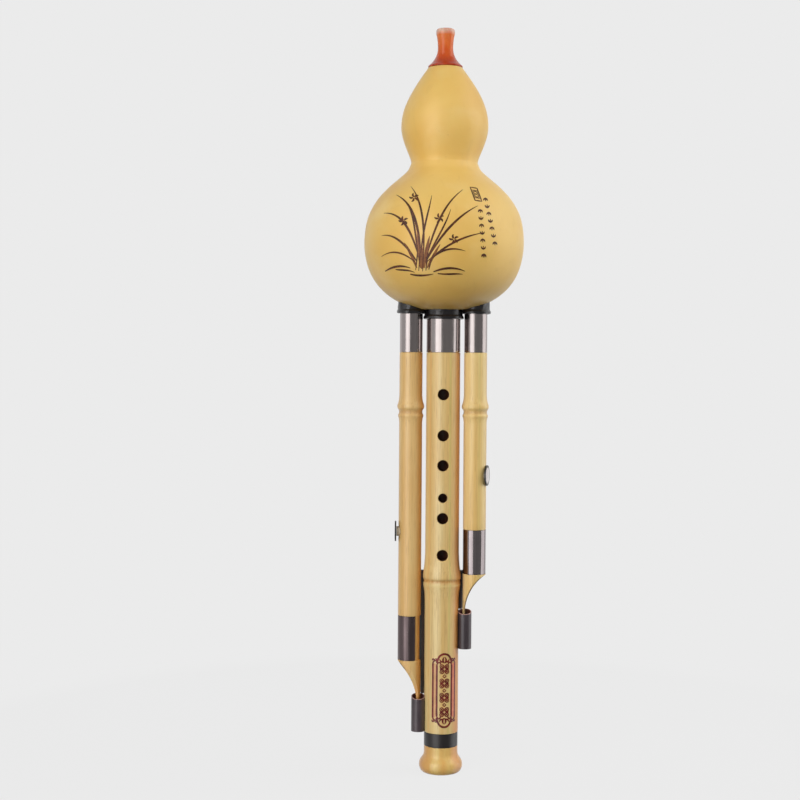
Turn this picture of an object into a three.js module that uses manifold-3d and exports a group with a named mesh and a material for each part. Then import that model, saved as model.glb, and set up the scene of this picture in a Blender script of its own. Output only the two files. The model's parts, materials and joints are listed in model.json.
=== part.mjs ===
// Hulusi: a free-reed wind instrument, a gourd wind chamber over three bamboo pipes.
// The melody pipe is in the middle, and a drone pipe hangs on each side of it.
// Millimetres, +Z up, origin at the centre of the bell's foot. The finger holes face -Y.
import * as THREE from "three";
import { mergeVertices } from "three/addons/utils/BufferGeometryUtils.js";
import Module from "manifold-3d";

const wasm = await Module();
wasm.setup();

// Clearances
const seatGap = 0.1; // between flat faces that rest on each other
const glueGap = 0.25; // round a piece that is glued into its hole
const slideGap = 0.3; // between a tenon and the ferrule that it slides in
const sealGap = 0.12; // round a rubber ring in its groove
const overrun = 2; // how far a cutting solid runs past what it cuts

// Bamboo pipes
const mainRadius = 8.5;
const mainWall = 3.3;
const mainLength = 189; // from the ring over the bell up to the ferrule
const droneRadius = 5.75;
const droneWall = 2.35;
const pipeGap = 1.85; // between the main pipe and each drone
const mainBore = mainRadius - mainWall;
const droneBore = droneRadius - droneWall;
const pipeSpacing = mainRadius + pipeGap + droneRadius;

// Bamboo nodes, each a ridge over a groove over a smaller ridge
const nodeSwell = 1;
const mainNodeLength = 12;
const droneNodeLength = 7;
const mainNodeShare = 0.602; // down from the ferrule, of the main pipe's length
const droneNodeDrop = 29.8; // down from the ferrule
const mainNodeShares = [
  // height over the groove as a share of the node's length, swell as a share of nodeSwell
  [-0.8, 0],
  [-0.42, 0.32],
  [-0.2, 0.8],
  [-0.08, 0.76],
  [0, 0.52],
  [0.08, 0.8],
  [0.25, 1],
  [0.42, 0.8],
  [0.7, 0.3],
  [1.15, 0],
];
const droneNodeShares = [
  [-0.6, 0],
  [-0.36, 0.36],
  [-0.24, 0.55],
  [-0.12, 0.3],
  [0, 0.12],
  [0.12, 0.2],
  [0.26, 0.74],
  [0.4, 1],
  [0.55, 0.82],
  [0.75, 0.38],
  [1.1, 0],
];

// Holes of the main pipe, as shares of its length down from the ferrule
const fingerHoleRadius = 2.75;
const smallHoleRadius = 2.25;
const fingerHoleShares = [0.111, 0.2185, 0.297, 0.4355, 0.532];
const smallHoleShare = 0.382;
const thumbHoleShare = 0.047;
const ventHoleShare = 0.665;
const tasselHoleRadius = 1.4;
const tasselHoleShare = 0.745;
const tasselHoleTurn = Math.PI / 7; // each way from straight back

// Ferrules, tenons and the rubber rings that seal them
const ferruleWall = 0.48;
const mainFerruleLength = 29;
const droneFerruleLength = 32;
const mainTenonLength = 25;
const droneTenonLength = 27;
const mainSealThickness = 1.6;
const droneSealThickness = 1;
const sealShares = [0.26, 0.7]; // up the tenon, of its length
const mainFerruleBore = mainRadius - ferruleWall;
const droneFerruleBore = droneRadius - ferruleWall;

// Reeds: a bronze plate over a window in a short closed tube
const mainReed = {
  tubeWall: 1.4,
  tubeInset: 8,
  tubeRise: 28,
  flatDepth: 0.8,
  flatLength: 21,
  windowWidth: 3.4,
  windowLength: 13,
  plateWidth: 6.2,
  plateLength: 18,
  plateThickness: 0.4,
  slotWidth: 0.25,
  tongueWidth: 2.8,
  tongueLength: 11.5,
  plugStem: 3,
  plugHead: 1.2,
};
const droneReed = {
  tubeWall: 0.95,
  tubeInset: 7,
  tubeRise: 21,
  flatDepth: 0.5,
  flatLength: 15,
  windowWidth: 2.1,
  windowLength: 9,
  plateWidth: 4,
  plateLength: 13,
  plateThickness: 0.35,
  slotWidth: 0.2,
  tongueWidth: 1.7,
  tongueLength: 8,
  plugStem: 2.4,
  plugHead: 1,
};

// Bell and the ring above it
const bellHeight = 13.2;
const bellFlare = 2.3; // how far the flare stands out past the pipe
const bellFlareHeight = 3.6;
const bellNeckHeight = 10.2;
const footRadius = 8.5;
const bellMouthRadius = 6.9;
const ringHeight = 6.8;
const ringInset = 0.1; // how far the ring and the bell's neck lie inside the bamboo's surface
const footTenonRadius = 6.9;
const footTenonLength = 12;

// Gourd, measured up from its base, with the curve handles as shares
const gourdDrop = 20.5; // from the gourd's base down to the ferrules' lower ends
const gourdWall = 3.5;
const bulbRadius = 40;
const bulbHeight = 35;
const waistRadius = 16.8;
const waistHeight = 74;
const crownRadius = 21.5;
const crownHeight = 92;
const gourdTopRadius = 8.5;
const gourdHeight = 121.7;
const baseHandleShares = [0.69, 0.43];
const shoulderHandleShares = [0.654, 0.192];
const crownHandleShares = [0.167, 0.444];
const topHandleShares = [0.438, 0.346, 0.215];

// Mouthpiece, measured up from its seat on the gourd
const mouthpieceHeight = 19.3;
const flangeRadius = 8.65;
const flangeEdge = 0.7;
const mouthpieceNeckRadius = 4.1;
const mouthpieceNeckHeight = 10;
const lipRadius = 5.2;
const lipHeight = 17.2;
const lipFaceRadius = 4.2;
const windwayRadius = 2.2;
const windwayMouthRadius = 2.9;
const flangeHandleShare = 0.72; // of the flange's radius
const neckHandleShares = [0.27, 0.6]; // of the height up to the neck
const mouthpieceTenonRadius = 4.5;
const mouthpieceTenonLength = 10;

// Rubber collars where the ferrules enter the gourd
const collarWall = 0.8;
const collarLip = 0.5;
const collarLipHeight = 1.9;
const mainCollarDrop = 3.9; // how far the collar reaches below the gourd's base
const droneCollarDrop = 1.2;

// Cut tail of a drone, a scooped tongue that narrows to a blunt tip in its tube
const tailLength = 26;
const leftTailToTube = 17.8; // from the top of the cut down to the tube's mouth
const rightTailToTube = 18.4;
const tailTipWidth = 1.8;
const tailTipThickness = 1.15;
const leftScoopShares = [0.66, 0.17, -0.42, 0.44, -0.68, 0.85]; // of the radius and the tail's length
const rightScoopShares = [0.5, 0.03, -0.3, 0.31, -0.73, 0.65];
const flankShares = [0.94, 0.27, 0.38, 0.385, 0.28, 0.69];
const scoopTurn = (3 / 180) * Math.PI; // from outwards towards the front
const tailInnerShare = 0.54; // how far down the inner side starts to taper
const tailInnerTaper = 0.5;
const tailTubeRadius = 3.4;
const tailTubeWall = 0.42;
const leftTubeLength = 17.3;
const rightTubeLength = 18.4;
const leftTubeRise = 0.2; // from the main pipe's lower end up to the tube's
const rightTubeRise = 41.5;
const tailSeatDepth = 0.3; // how far the tube sits into the flute in the main pipe
const tailTubeTurn = (8 / 180) * Math.PI; // round the main pipe, from its side towards the front
const tubeMouthSlant = (16 / 180) * Math.PI; // the mouth rises towards the back

// Strips glued to the main pipe, which fill the gap to each drone from the node down to the tube
const stripTopShare = 0.577; // down from the ferrule, of the main pipe's length
const stripFront = 0.5; // how far it reaches in front of the pipes' axes, and behind them
const stripBack = 3.4;
const stripRoom = 0.4; // between the strip and the drone

// Drone switches: a sprung ring with a gap that turns in a groove over a vent
const shutterThickness = 0.42;
const shutterLength = 22;
const shutterLedge = 0.3; // wood left between the groove and the cut tail
const leftShutterGap = (88 / 180) * Math.PI;
const rightShutterGap = (64 / 180) * Math.PI;
const shutterVentRadius = 2.1;
const leftShutterTurn = (165.5 / 180) * Math.PI; // of the gap, from outwards towards the front
const rightShutterTurn = -Math.PI / 2;
const shutterVentTurn = -Math.PI / 2; // straight back

// Stoppers in the drones' side holes
const stopperHoleRadius = 2.7;
const leftStopperShare = 0.5815; // down from the ferrule, of the drone's length
const rightStopperShare = 0.553;
const leftStopperOut = 1; // the left stopper stands this far out of its seat
const rightStopperTurn = (15.4 / 180) * Math.PI; // from outwards towards the front
const stopperCapRadius = 5.1;
const stopperCapThickness = 0.75;
const stopperInlayRadius = 4.2;
const stopperInlayDepth = 0.35;
const stopperPlugLength = 2.7;

// Faces round each round piece, and steps along each curve
const mainFaces = 24;
const droneFaces = 20;
const gourdFaces = 40;
const chamberFaces = 20;
const mouthpieceFaces = 20;
const holeFaces = 12;
const curveSteps = 6;
const chamberSteps = 3;
const cordSteps = 3;

// Heights of the parts that the rest is measured from
const ringBase = bellHeight + seatGap;
const pipeBase = ringBase + ringHeight + seatGap;
const shoulderHeight = pipeBase + mainLength;
const gourdBase = shoulderHeight + gourdDrop;

// Each drone's length from its ferrule down to the top of its cut tail, which ends in its tube
const leftDroneLength = mainLength - leftTubeRise - leftTubeLength - leftTailToTube;
const rightDroneLength = mainLength - rightTubeRise - rightTubeLength - rightTailToTube;

// Where the tail tubes stand, and the turn of a drone's tail that brings its tongue over them
const tailTubeReach = mainRadius + tailTubeRadius - tailSeatDepth;
const tailTubeX = tailTubeReach * Math.cos(tailTubeTurn);
const tailTubeY = -tailTubeReach * Math.sin(tailTubeTurn);
const tongueTurn = Math.atan2(-tailTubeY, pipeSpacing - tailTubeX);
const tubeMouthRise = tailTubeRadius * Math.tan(tubeMouthSlant); // from the mouth's middle to its back

const bamboo = new THREE.MeshStandardMaterial({ color: 0xd3b478, roughness: 0.5 });
const gourdSkin = new THREE.MeshStandardMaterial({ color: 0xddb768, roughness: 0.45 });
const resin = new THREE.MeshStandardMaterial({ color: 0xd0582c, roughness: 0.2 });
const steel = new THREE.MeshStandardMaterial({ color: 0xc2bcba, roughness: 0.2, metalness: 1 });
const darkMetal = new THREE.MeshStandardMaterial({ color: 0x5a5052, roughness: 0.35, metalness: 0.9 });
const rubber = new THREE.MeshStandardMaterial({ color: 0x1b181b, roughness: 0.35 });
const horn = new THREE.MeshStandardMaterial({ color: 0x2e2a2a, roughness: 0.35 });
const bronze = new THREE.MeshStandardMaterial({ color: 0xb08044, roughness: 0.35, metalness: 1 });
const bone = new THREE.MeshStandardMaterial({ color: 0xd8c2a4, roughness: 0.5 });
const pearl = new THREE.MeshStandardMaterial({ color: 0xe6dcd8, roughness: 0.25 });

// Turns a closed geometry into a solid that can be cut and joined.
function solidOf(geometry) {
  geometry.deleteAttribute("normal");
  geometry.deleteAttribute("uv");
  const merged = mergeVertices(geometry);
  return new wasm.Manifold(
    new wasm.Mesh({
      numProp: 3,
      vertProperties: merged.attributes.position.array,
      triVerts: new Uint32Array(merged.index.array),
    }),
  );
}

function geometryOf(solid) {
  const mesh = solid.getMesh();
  const geometry = new THREE.BufferGeometry();
  geometry.setAttribute("position", new THREE.BufferAttribute(mesh.vertProperties, 3));
  geometry.setIndex(new THREE.BufferAttribute(mesh.triVerts, 1));
  geometry.computeVertexNormals();
  return geometry;
}

// A named mesh from a solid or a geometry.
function piece(name, shape, material) {
  const geometry = shape.isBufferGeometry ? shape : geometryOf(shape);
  const mesh = new THREE.Mesh(geometry, material);
  mesh.name = name;
  return mesh;
}

function at(object, x, y, z) {
  object.position.set(x, y, z);
  return object;
}

function groupOf(...objects) {
  return new THREE.Group().add(...objects);
}

// Turns an outline of [radius, height] points round the Z axis. It runs up the outside first.
function revolve(outline, faces) {
  const points = outline.map((p) => (p.isVector2 ? p : new THREE.Vector2(p[0], p[1])));
  return new THREE.LatheGeometry(points, faces).rotateX(Math.PI / 2);
}

// A tube whose outside follows the given points, with a straight bore.
function bored(outside, boreRadius, faces) {
  const bottom = outside[0][1];
  const top = outside[outside.length - 1][1];
  return revolve([[boreRadius, bottom], ...outside, [boreRadius, top], [boreRadius, bottom]], faces);
}

function ring(outer, inner, bottom, top, faces) {
  const outside = [
    [outer, bottom],
    [outer, top],
  ];
  return bored(outside, inner, faces);
}

function rod(radius, bottom, top, faces) {
  return new THREE.CylinderGeometry(radius, radius, top - bottom, faces)
    .rotateX(Math.PI / 2)
    .translate(0, 0, (bottom + top) / 2);
}

// A cutter for a round hole in one wall of a pipe, along the direction at the given turn from +X.
function wallHole(radius, reach, turn, height) {
  return solidOf(
    new THREE.CylinderGeometry(radius, radius, reach, holeFaces)
      .rotateZ(Math.PI / 2)
      .translate(reach / 2, 0, 0)
      .rotateZ(turn)
      .translate(0, 0, height),
  );
}

// A flat outline in the XZ plane, made into a slab centred on that plane.
function slab(shape, thickness) {
  return new THREE.ExtrudeGeometry(shape, { depth: thickness, bevelEnabled: false, curveSegments: curveSteps })
    .rotateX(Math.PI / 2)
    .translate(0, thickness / 2, 0);
}

function box(width, depth, height, x, y, z) {
  return solidOf(new THREE.BoxGeometry(width, depth, height).translate(x, y, z));
}

// The outside of a node, from below it to above it.
function nodeOutline(shares, radius, grooveHeight, length) {
  return shares.map(([rise, swell]) => [
    radius + swell * nodeSwell,
    grooveHeight + rise * length,
  ]);
}

function tenonRadius(ferruleBore) {
  return ferruleBore - slideGap;
}

// The outside of a tenon with a groove for each rubber ring, from its shoulder at height 0 up.
function tenonOutline(ferruleBore, length, sealThickness) {
  const radius = tenonRadius(ferruleBore);
  const floor = ferruleBore - sealThickness - sealGap * 2;
  const halfWidth = sealThickness / 2 + sealGap;
  const grooves = sealShares.flatMap((share) => [
    [radius, share * length - halfWidth],
    [floor, share * length - halfWidth],
    [floor, share * length + halfWidth],
    [radius, share * length + halfWidth],
  ]);
  return [[radius, 0], ...grooves, [radius, length]];
}

// The rubber rings of one tenon.
function tenonRings(side, ferruleBore, length, thickness, faces) {
  const cord = thickness / 2;
  const middle = ferruleBore - sealGap - cord;
  return sealShares.map((share, i) => {
    const circle = new THREE.Path().absarc(middle, share * length, cord, -Math.PI / 2, Math.PI * 1.5);
    return piece(side + "_tenon_ring_" + (i + 1), revolve(circle.getPoints(cordSteps), faces), rubber);
  });
}

// The reed tube stands in the top of a tenon, closed by a plug, with its reed facing -Y.
function reedAssembly(side, reed, bore, tenonLength) {
  const radius = bore - glueGap / 2;
  const inner = radius - reed.tubeWall;
  const top = tenonLength + reed.tubeRise;
  const flat = radius - reed.flatDepth;
  const middle = top - reed.plugStem - reed.flatLength / 2;
  const cutDepth = reed.flatDepth + overrun;
  const tube = solidOf(ring(radius, inner, tenonLength - reed.tubeInset, top, holeFaces))
    .subtract(box(radius * 2, cutDepth, reed.flatLength, 0, -flat - cutDepth / 2, middle))
    .subtract(box(reed.windowWidth, radius, reed.windowLength, 0, -radius / 2 - inner / 2, middle));
  const plug = revolve(
    [
      [0, -reed.plugStem],
      [inner - sealGap, -reed.plugStem],
      [inner - sealGap, 0],
      [radius, 0],
      [radius, reed.plugHead],
      [0, reed.plugHead],
    ],
    holeFaces,
  );
  return groupOf(
    piece(side + "_reed_tube", tube, bone),
    at(piece(side + "_reed", reedPlate(reed), bronze), 0, -flat - seatGap, middle),
    at(piece(side + "_reed_plug", plug, bone), 0, 0, top + seatGap),
  );
}

// A bronze plate with a slit along two sides of a pointed tongue, which stays joined at its root.
function reedPlate(reed) {
  const halfWidth = reed.plateWidth / 2;
  const halfLength = reed.plateLength / 2;
  const plate = new THREE.Shape()
    .moveTo(-halfWidth, -halfLength)
    .lineTo(halfWidth, -halfLength)
    .lineTo(halfWidth, halfLength)
    .lineTo(-halfWidth, halfLength);
  const root = -reed.tongueLength / 2;
  const tip = reed.tongueLength / 2;
  const halfTongue = reed.tongueWidth / 2;
  const slit = new THREE.Path()
    .moveTo(halfTongue, root)
    .lineTo(halfTongue + reed.slotWidth, root)
    .lineTo(0, tip + reed.slotWidth * 2)
    .lineTo(-halfTongue - reed.slotWidth, root)
    .lineTo(-halfTongue, root)
    .lineTo(0, tip);
  plate.holes.push(slit);
  return slab(plate, reed.plateThickness).translate(0, -reed.plateThickness / 2, 0);
}

// The outside of the main pipe between its shoulders, up to the one at height 0, let out by a gap.
function mainOutside(gap) {
  const radius = mainRadius + gap;
  const node = nodeOutline(mainNodeShares, radius, -mainNodeShare * mainLength, mainNodeLength);
  return [[radius, -mainLength], ...node, [radius, 0]];
}

// The main pipe hangs from its shoulder at height 0, with a tenon at each end.
function mainPipe() {
  const outside = [
    [footTenonRadius, -mainLength - footTenonLength],
    [footTenonRadius, -mainLength],
    ...mainOutside(0),
    ...tenonOutline(mainFerruleBore, mainTenonLength, mainSealThickness),
  ];
  let pipe = solidOf(bored(outside, mainBore, mainFaces));
  const reach = mainRadius + nodeSwell + overrun;
  const front = -Math.PI / 2;
  const back = Math.PI / 2;
  const holes = [
    ...fingerHoleShares.map((share) => [fingerHoleRadius, front, share]),
    [smallHoleRadius, front, smallHoleShare],
    [fingerHoleRadius, back, thumbHoleShare],
    [fingerHoleRadius, back, ventHoleShare],
    [tasselHoleRadius, back - tasselHoleTurn, tasselHoleShare],
    [tasselHoleRadius, back + tasselHoleTurn, tasselHoleShare],
  ];
  for (const [radius, turn, share] of holes) {
    pipe = pipe.subtract(wallHole(radius, reach, turn, -share * mainLength));
  }
  for (const side of [-1, 1]) {
    const { mouth, tubeLength } = droneSizes(side);
    const top = mouth + tubeMouthRise + glueGap;
    const flute = rod(tailTubeRadius + glueGap, mouth - tubeLength - glueGap, top, droneFaces);
    pipe = pipe.subtract(solidOf(flute.translate(side * tailTubeX, tailTubeY, 0)));
  }
  return pipe;
}

// The sizes that differ between the drones: side -1 is the left one, and side 1 the right one.
function droneSizes(side) {
  return side < 0
    ? {
        name: "left",
        length: leftDroneLength,
        mouth: -leftDroneLength - leftTailToTube,
        tubeLength: leftTubeLength,
        scoopShares: leftScoopShares,
        shutterTurn: leftShutterTurn,
        shutterGap: leftShutterGap,
        stopperDrop: leftStopperShare * leftDroneLength,
        stopperTurn: 0,
        stopperOut: leftStopperOut,
      }
    : {
        name: "right",
        length: rightDroneLength,
        mouth: -rightDroneLength - rightTailToTube,
        tubeLength: rightTubeLength,
        scoopShares: rightScoopShares,
        shutterTurn: rightShutterTurn,
        shutterGap: rightShutterGap,
        stopperDrop: rightStopperShare * rightDroneLength,
        stopperTurn: rightStopperTurn,
        stopperOut: 0,
      };
}

// A tail tube with the middle of its slanted mouth at height 0.
function tailTube(side) {
  const { name, mouth, tubeLength } = droneSizes(side);
  const top = tubeMouthRise + overrun;
  const tube = solidOf(ring(tailTubeRadius, tailTubeRadius - tailTubeWall, -tubeLength, top, droneFaces));
  const cut = tube.trimByPlane([0, Math.sin(tubeMouthSlant), -Math.cos(tubeMouthSlant)], 0);
  return at(piece(name + "_tail_tube", cut, horn), side * tailTubeX, tailTubeY, mouth);
}

// A strip between the main pipe and a drone, hollowed out on both sides.
function sideStrip(side) {
  const { name, mouth } = droneSizes(side);
  const bottom = mouth + tubeMouthRise + seatGap;
  const top = -stripTopShare * mainLength;
  const inside = mainRadius / 2;
  const room = rod(droneRadius + stripRoom, bottom - overrun, top + overrun, droneFaces);
  const main = revolve([[0, -mainLength], ...mainOutside(seatGap), [0, 0]], mainFaces);
  const strip = box(
    pipeSpacing - droneRadius / 2 - inside,
    stripFront + stripBack,
    top - bottom,
    side * (pipeSpacing - droneRadius / 2 + inside) * 0.5,
    (stripBack - stripFront) / 2,
    (top + bottom) / 2,
  )
    .subtract(solidOf(main))
    .subtract(solidOf(room.translate(side * pipeSpacing, 0, 0)));
  return piece(name + "_strip", strip, horn);
}

// The scoop that cuts a drone's tail open on its outer side, +X, with its top at height 0.
function tailScoop([x1, z1, x2, z2, x3, z3]) {
  const far = droneRadius + overrun;
  const tipFace = -droneRadius + tailTipThickness + tailInnerTaper;
  const scoop = new THREE.Shape()
    .moveTo(droneRadius, 0)
    .bezierCurveTo(
      x1 * droneRadius,
      -z1 * tailLength,
      x2 * droneRadius,
      -z2 * tailLength,
      x3 * droneRadius,
      -z3 * tailLength,
    )
    .lineTo(tipFace, -tailLength - overrun)
    .lineTo(far, -tailLength - overrun)
    .lineTo(far, 0);
  return solidOf(slab(scoop, far * 2));
}

// The two cuts that narrow the tail from front and back.
function tailFlanks() {
  const [y1, z1, y2, z2, y3, z3] = flankShares;
  const far = droneRadius + overrun;
  const flank = new THREE.Shape()
    .moveTo(droneRadius, 0)
    .bezierCurveTo(
      y1 * droneRadius,
      -z1 * tailLength,
      y2 * droneRadius,
      -z2 * tailLength,
      y3 * droneRadius,
      -z3 * tailLength,
    )
    .lineTo(tailTipWidth / 2, -tailLength - overrun)
    .lineTo(far, -tailLength - overrun)
    .lineTo(far, 0);
  const cut = slab(flank, far * 2);
  const back = solidOf(cut.clone().rotateZ(Math.PI / 2));
  return back.add(solidOf(cut.rotateZ(-Math.PI / 2)));
}

// The cut that thins the tongue on the side of the main pipe.
function tailInnerCut() {
  const far = -droneRadius - overrun;
  const start = -tailInnerShare * tailLength;
  const wedge = new THREE.Shape()
    .moveTo(-droneRadius, start)
    .lineTo(far, start)
    .lineTo(far, -tailLength - overrun)
    .lineTo(-droneRadius + tailInnerTaper, -tailLength - overrun);
  return solidOf(slab(wedge, (droneRadius + overrun) * 2));
}

// The direction from a drone's axis at a turn from outwards towards the front. Its group faces
// outwards along +X, and the left drone's group is turned half round.
function droneTurn(side, turn) {
  return -side * turn;
}

// A drone hangs from its shoulder at height 0, outer side towards +X.
function dronePipe(side) {
  const { length, scoopShares, stopperDrop, stopperTurn } = droneSizes(side);
  const grooveBottom = -length + shutterLedge;
  const grooveTop = grooveBottom + shutterLength + seatGap * 2;
  const grooveRadius = droneRadius - shutterThickness - sealGap;
  const outside = [
    [droneRadius, -length - tailLength],
    [droneRadius, grooveBottom],
    [grooveRadius, grooveBottom],
    [grooveRadius, grooveTop],
    [droneRadius, grooveTop],
    ...nodeOutline(droneNodeShares, droneRadius, -droneNodeDrop, droneNodeLength),
    [droneRadius, 0],
    ...tenonOutline(droneFerruleBore, droneTenonLength, droneSealThickness),
  ];
  const reach = droneRadius + overrun;
  const ventHeight = (grooveBottom + grooveTop) / 2;
  const degrees = 180 / Math.PI;
  const scoop = tailScoop(scoopShares).rotate([0, 0, droneTurn(side, scoopTurn) * degrees]);
  const tongue = tailFlanks().add(tailInnerCut()).rotate([0, 0, droneTurn(side, -tongueTurn) * degrees]);
  return solidOf(bored(outside, droneBore, droneFaces))
    .subtract(scoop.add(tongue).translate(0, 0, -length))
    .subtract(wallHole(stopperHoleRadius, reach, droneTurn(side, stopperTurn), -stopperDrop))
    .subtract(wallHole(shutterVentRadius, reach, droneTurn(side, shutterVentTurn), ventHeight));
}

// The switch ring, its gap centred on +X.
function shutterRing(gap) {
  const inner = droneRadius - shutterThickness;
  const start = gap / 2;
  const end = Math.PI * 2 - gap / 2;
  const arc = new THREE.Shape()
    .absarc(0, 0, droneRadius, start, end, false)
    .absarc(0, 0, inner, end, start, true);
  return new THREE.ExtrudeGeometry(arc, {
    depth: shutterLength,
    bevelEnabled: false,
    curveSegments: droneFaces,
  });
}

// A stopper along +Z, with height 0 at the drone's surface when it is pushed home.
function stopper(name) {
  const capTop = seatGap + stopperCapThickness;
  const recess = capTop - stopperInlayDepth;
  const plugRadius = stopperHoleRadius - glueGap;
  const cap = revolve(
    [
      [0, seatGap],
      [stopperCapRadius, seatGap],
      [stopperCapRadius, capTop],
      [stopperInlayRadius, capTop],
      [stopperInlayRadius, recess],
      [0, recess],
    ],
    droneFaces,
  );
  const plug = revolve(
    [
      [0, -stopperPlugLength],
      [plugRadius, -stopperPlugLength],
      [plugRadius, 0],
      [0, 0],
    ],
    holeFaces,
  );
  const inlay = rod(stopperInlayRadius - sealGap, recess + seatGap / 2, capTop + seatGap / 2, droneFaces);
  return groupOf(
    piece(name + "_stopper_cap", cap, horn),
    piece(name + "_stopper_plug", plug, bone),
    piece(name + "_stopper_inlay", inlay, pearl),
  );
}

// One drone with its switch ring, stopper, reed and rubber rings.
function drone(side) {
  const { name, length, shutterTurn, shutterGap, stopperDrop, stopperTurn, stopperOut } = droneSizes(side);
  const shutter = at(
    piece(name + "_shutter", shutterRing(shutterGap), darkMetal),
    0,
    0,
    -length + shutterLedge + seatGap,
  );
  shutter.rotation.z = droneTurn(side, shutterTurn);
  const plugged = at(stopper(name), droneRadius + stopperOut, 0, 0);
  plugged.rotation.y = Math.PI / 2;
  const plugTurn = at(groupOf(plugged), 0, 0, -stopperDrop);
  plugTurn.rotation.z = droneTurn(side, stopperTurn);
  const reed = reedAssembly(name, droneReed, droneBore, droneTenonLength);
  const group = groupOf(
    piece(name + "_drone", dronePipe(side), bamboo),
    shutter,
    plugTurn,
    reed,
    ...tenonRings(name, droneFerruleBore, droneTenonLength, droneSealThickness, droneFaces),
  );
  if (side < 0) {
    group.rotation.z = Math.PI;
    reed.rotation.z = Math.PI;
  }
  return at(group, side * pipeSpacing, 0, 0);
}

// The gourd's outside from its base to its top, or its chamber when it is inset by the wall.
function gourdOutline(inset, steps) {
  const bulb = bulbRadius - inset;
  const waist = waistRadius - inset;
  const crown = crownRadius - inset;
  const top = gourdTopRadius - inset;
  const topHeight = gourdHeight - inset;
  const toWaist = waistHeight - bulbHeight;
  const toCrown = crownHeight - waistHeight;
  const toTop = topHeight - crownHeight;
  const path = new THREE.Path()
    .moveTo(0, inset)
    .bezierCurveTo(
      baseHandleShares[0] * bulb,
      inset,
      bulb,
      inset + baseHandleShares[1] * (bulbHeight - inset),
      bulb,
      bulbHeight,
    )
    .bezierCurveTo(
      bulb,
      bulbHeight + shoulderHandleShares[0] * toWaist,
      waist,
      waistHeight - shoulderHandleShares[1] * toWaist,
      waist,
      waistHeight,
    )
    .bezierCurveTo(
      waist,
      waistHeight + crownHandleShares[0] * toCrown,
      crown,
      crownHeight - crownHandleShares[1] * toCrown,
      crown,
      crownHeight,
    )
    .bezierCurveTo(
      crown,
      crownHeight + topHandleShares[0] * toTop,
      top + topHandleShares[1] * (crown - top),
      topHeight - topHandleShares[2] * toTop,
      top,
      topHeight,
    )
    .lineTo(0, topHeight);
  return path.getPoints(steps);
}

function gourdSolid(inset) {
  return solidOf(revolve(gourdOutline(inset, curveSteps), gourdFaces));
}

function gourdShell() {
  const holeTop = bulbHeight;
  const chamber = revolve(gourdOutline(gourdWall, chamberSteps), chamberFaces);
  let shell = gourdSolid(0).subtract(solidOf(chamber));
  shell = shell.subtract(solidOf(rod(mainRadius + glueGap, -overrun, holeTop, mainFaces)));
  for (const side of [-1, 1]) {
    const hole = rod(droneRadius + glueGap, -overrun, holeTop, droneFaces);
    shell = shell.subtract(solidOf(hole.translate(side * pipeSpacing, 0, 0)));
  }
  const socket = rod(
    mouthpieceTenonRadius + glueGap,
    gourdHeight - mouthpieceTenonLength,
    gourdHeight + overrun,
    mouthpieceFaces,
  );
  return shell.subtract(solidOf(socket));
}

// A rubber collar round a ferrule, with a rolled lip below and its top cut to the gourd.
function collar(side, ferruleRadius, drop, faces) {
  const inner = ferruleRadius + sealGap;
  const wall = ferruleRadius + collarWall;
  const lip = wall + collarLip;
  const corner = collarLipHeight / 3;
  const outside = [
    [lip - corner, -drop],
    [lip, -drop + corner],
    [lip, -drop + corner * 2],
    [wall, -drop + collarLipHeight],
    [wall, bulbHeight / 2],
  ];
  return solidOf(bored(outside, inner, faces))
    .translate(side * pipeSpacing, 0, 0)
    .subtract(gourdSolid(-glueGap));
}

function droneCollar(side) {
  const mainLip = mainRadius + collarWall + collarLip;
  const room = rod(mainLip + glueGap, -mainCollarDrop - overrun, bulbHeight, mainFaces);
  return collar(side, droneRadius, droneCollarDrop, droneFaces).subtract(solidOf(room));
}

// The mouthpiece over its seat at height 0, with a tenon below.
function mouthpiece() {
  const path = new THREE.Path()
    .moveTo(windwayRadius, -mouthpieceTenonLength)
    .lineTo(mouthpieceTenonRadius, -mouthpieceTenonLength)
    .lineTo(mouthpieceTenonRadius, 0)
    .lineTo(flangeRadius, 0)
    .lineTo(flangeRadius, flangeEdge)
    .bezierCurveTo(
      flangeRadius * flangeHandleShare,
      mouthpieceNeckHeight * neckHandleShares[0],
      mouthpieceNeckRadius,
      mouthpieceNeckHeight * neckHandleShares[1],
      mouthpieceNeckRadius,
      mouthpieceNeckHeight,
    )
    .bezierCurveTo(
      mouthpieceNeckRadius,
      (mouthpieceNeckHeight + lipHeight) / 2,
      lipRadius,
      (mouthpieceNeckHeight + lipHeight * 2) / 3,
      lipRadius,
      lipHeight,
    )
    .bezierCurveTo(
      lipRadius,
      (lipHeight + mouthpieceHeight) / 2,
      (lipRadius + lipFaceRadius) / 2,
      mouthpieceHeight,
      lipFaceRadius,
      mouthpieceHeight,
    )
    .lineTo(windwayMouthRadius, mouthpieceHeight)
    .lineTo(windwayRadius, lipHeight)
    .lineTo(windwayRadius, -mouthpieceTenonLength);
  return revolve(path.getPoints(curveSteps), mouthpieceFaces);
}

function bell() {
  const neck = mainRadius - ringInset;
  const flare = mainRadius + bellFlare;
  const socketRadius = footTenonRadius + glueGap;
  const socketFloor = pipeBase - footTenonLength - seatGap;
  const path = new THREE.Path()
    .moveTo(bellMouthRadius, 0)
    .lineTo(footRadius, 0)
    .bezierCurveTo((footRadius + flare) / 2, 0, flare, bellFlareHeight / 2, flare, bellFlareHeight)
    .bezierCurveTo(
      flare,
      (bellFlareHeight + bellNeckHeight) / 2,
      neck,
      (bellFlareHeight + bellNeckHeight) / 2,
      neck,
      bellNeckHeight,
    )
    .lineTo(neck, bellHeight)
    .lineTo(socketRadius, bellHeight)
    .lineTo(socketRadius, socketFloor)
    .lineTo(mainBore, socketFloor)
    .lineTo(bellMouthRadius, 0);
  return revolve(path.getPoints(curveSteps), mainFaces);
}

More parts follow.
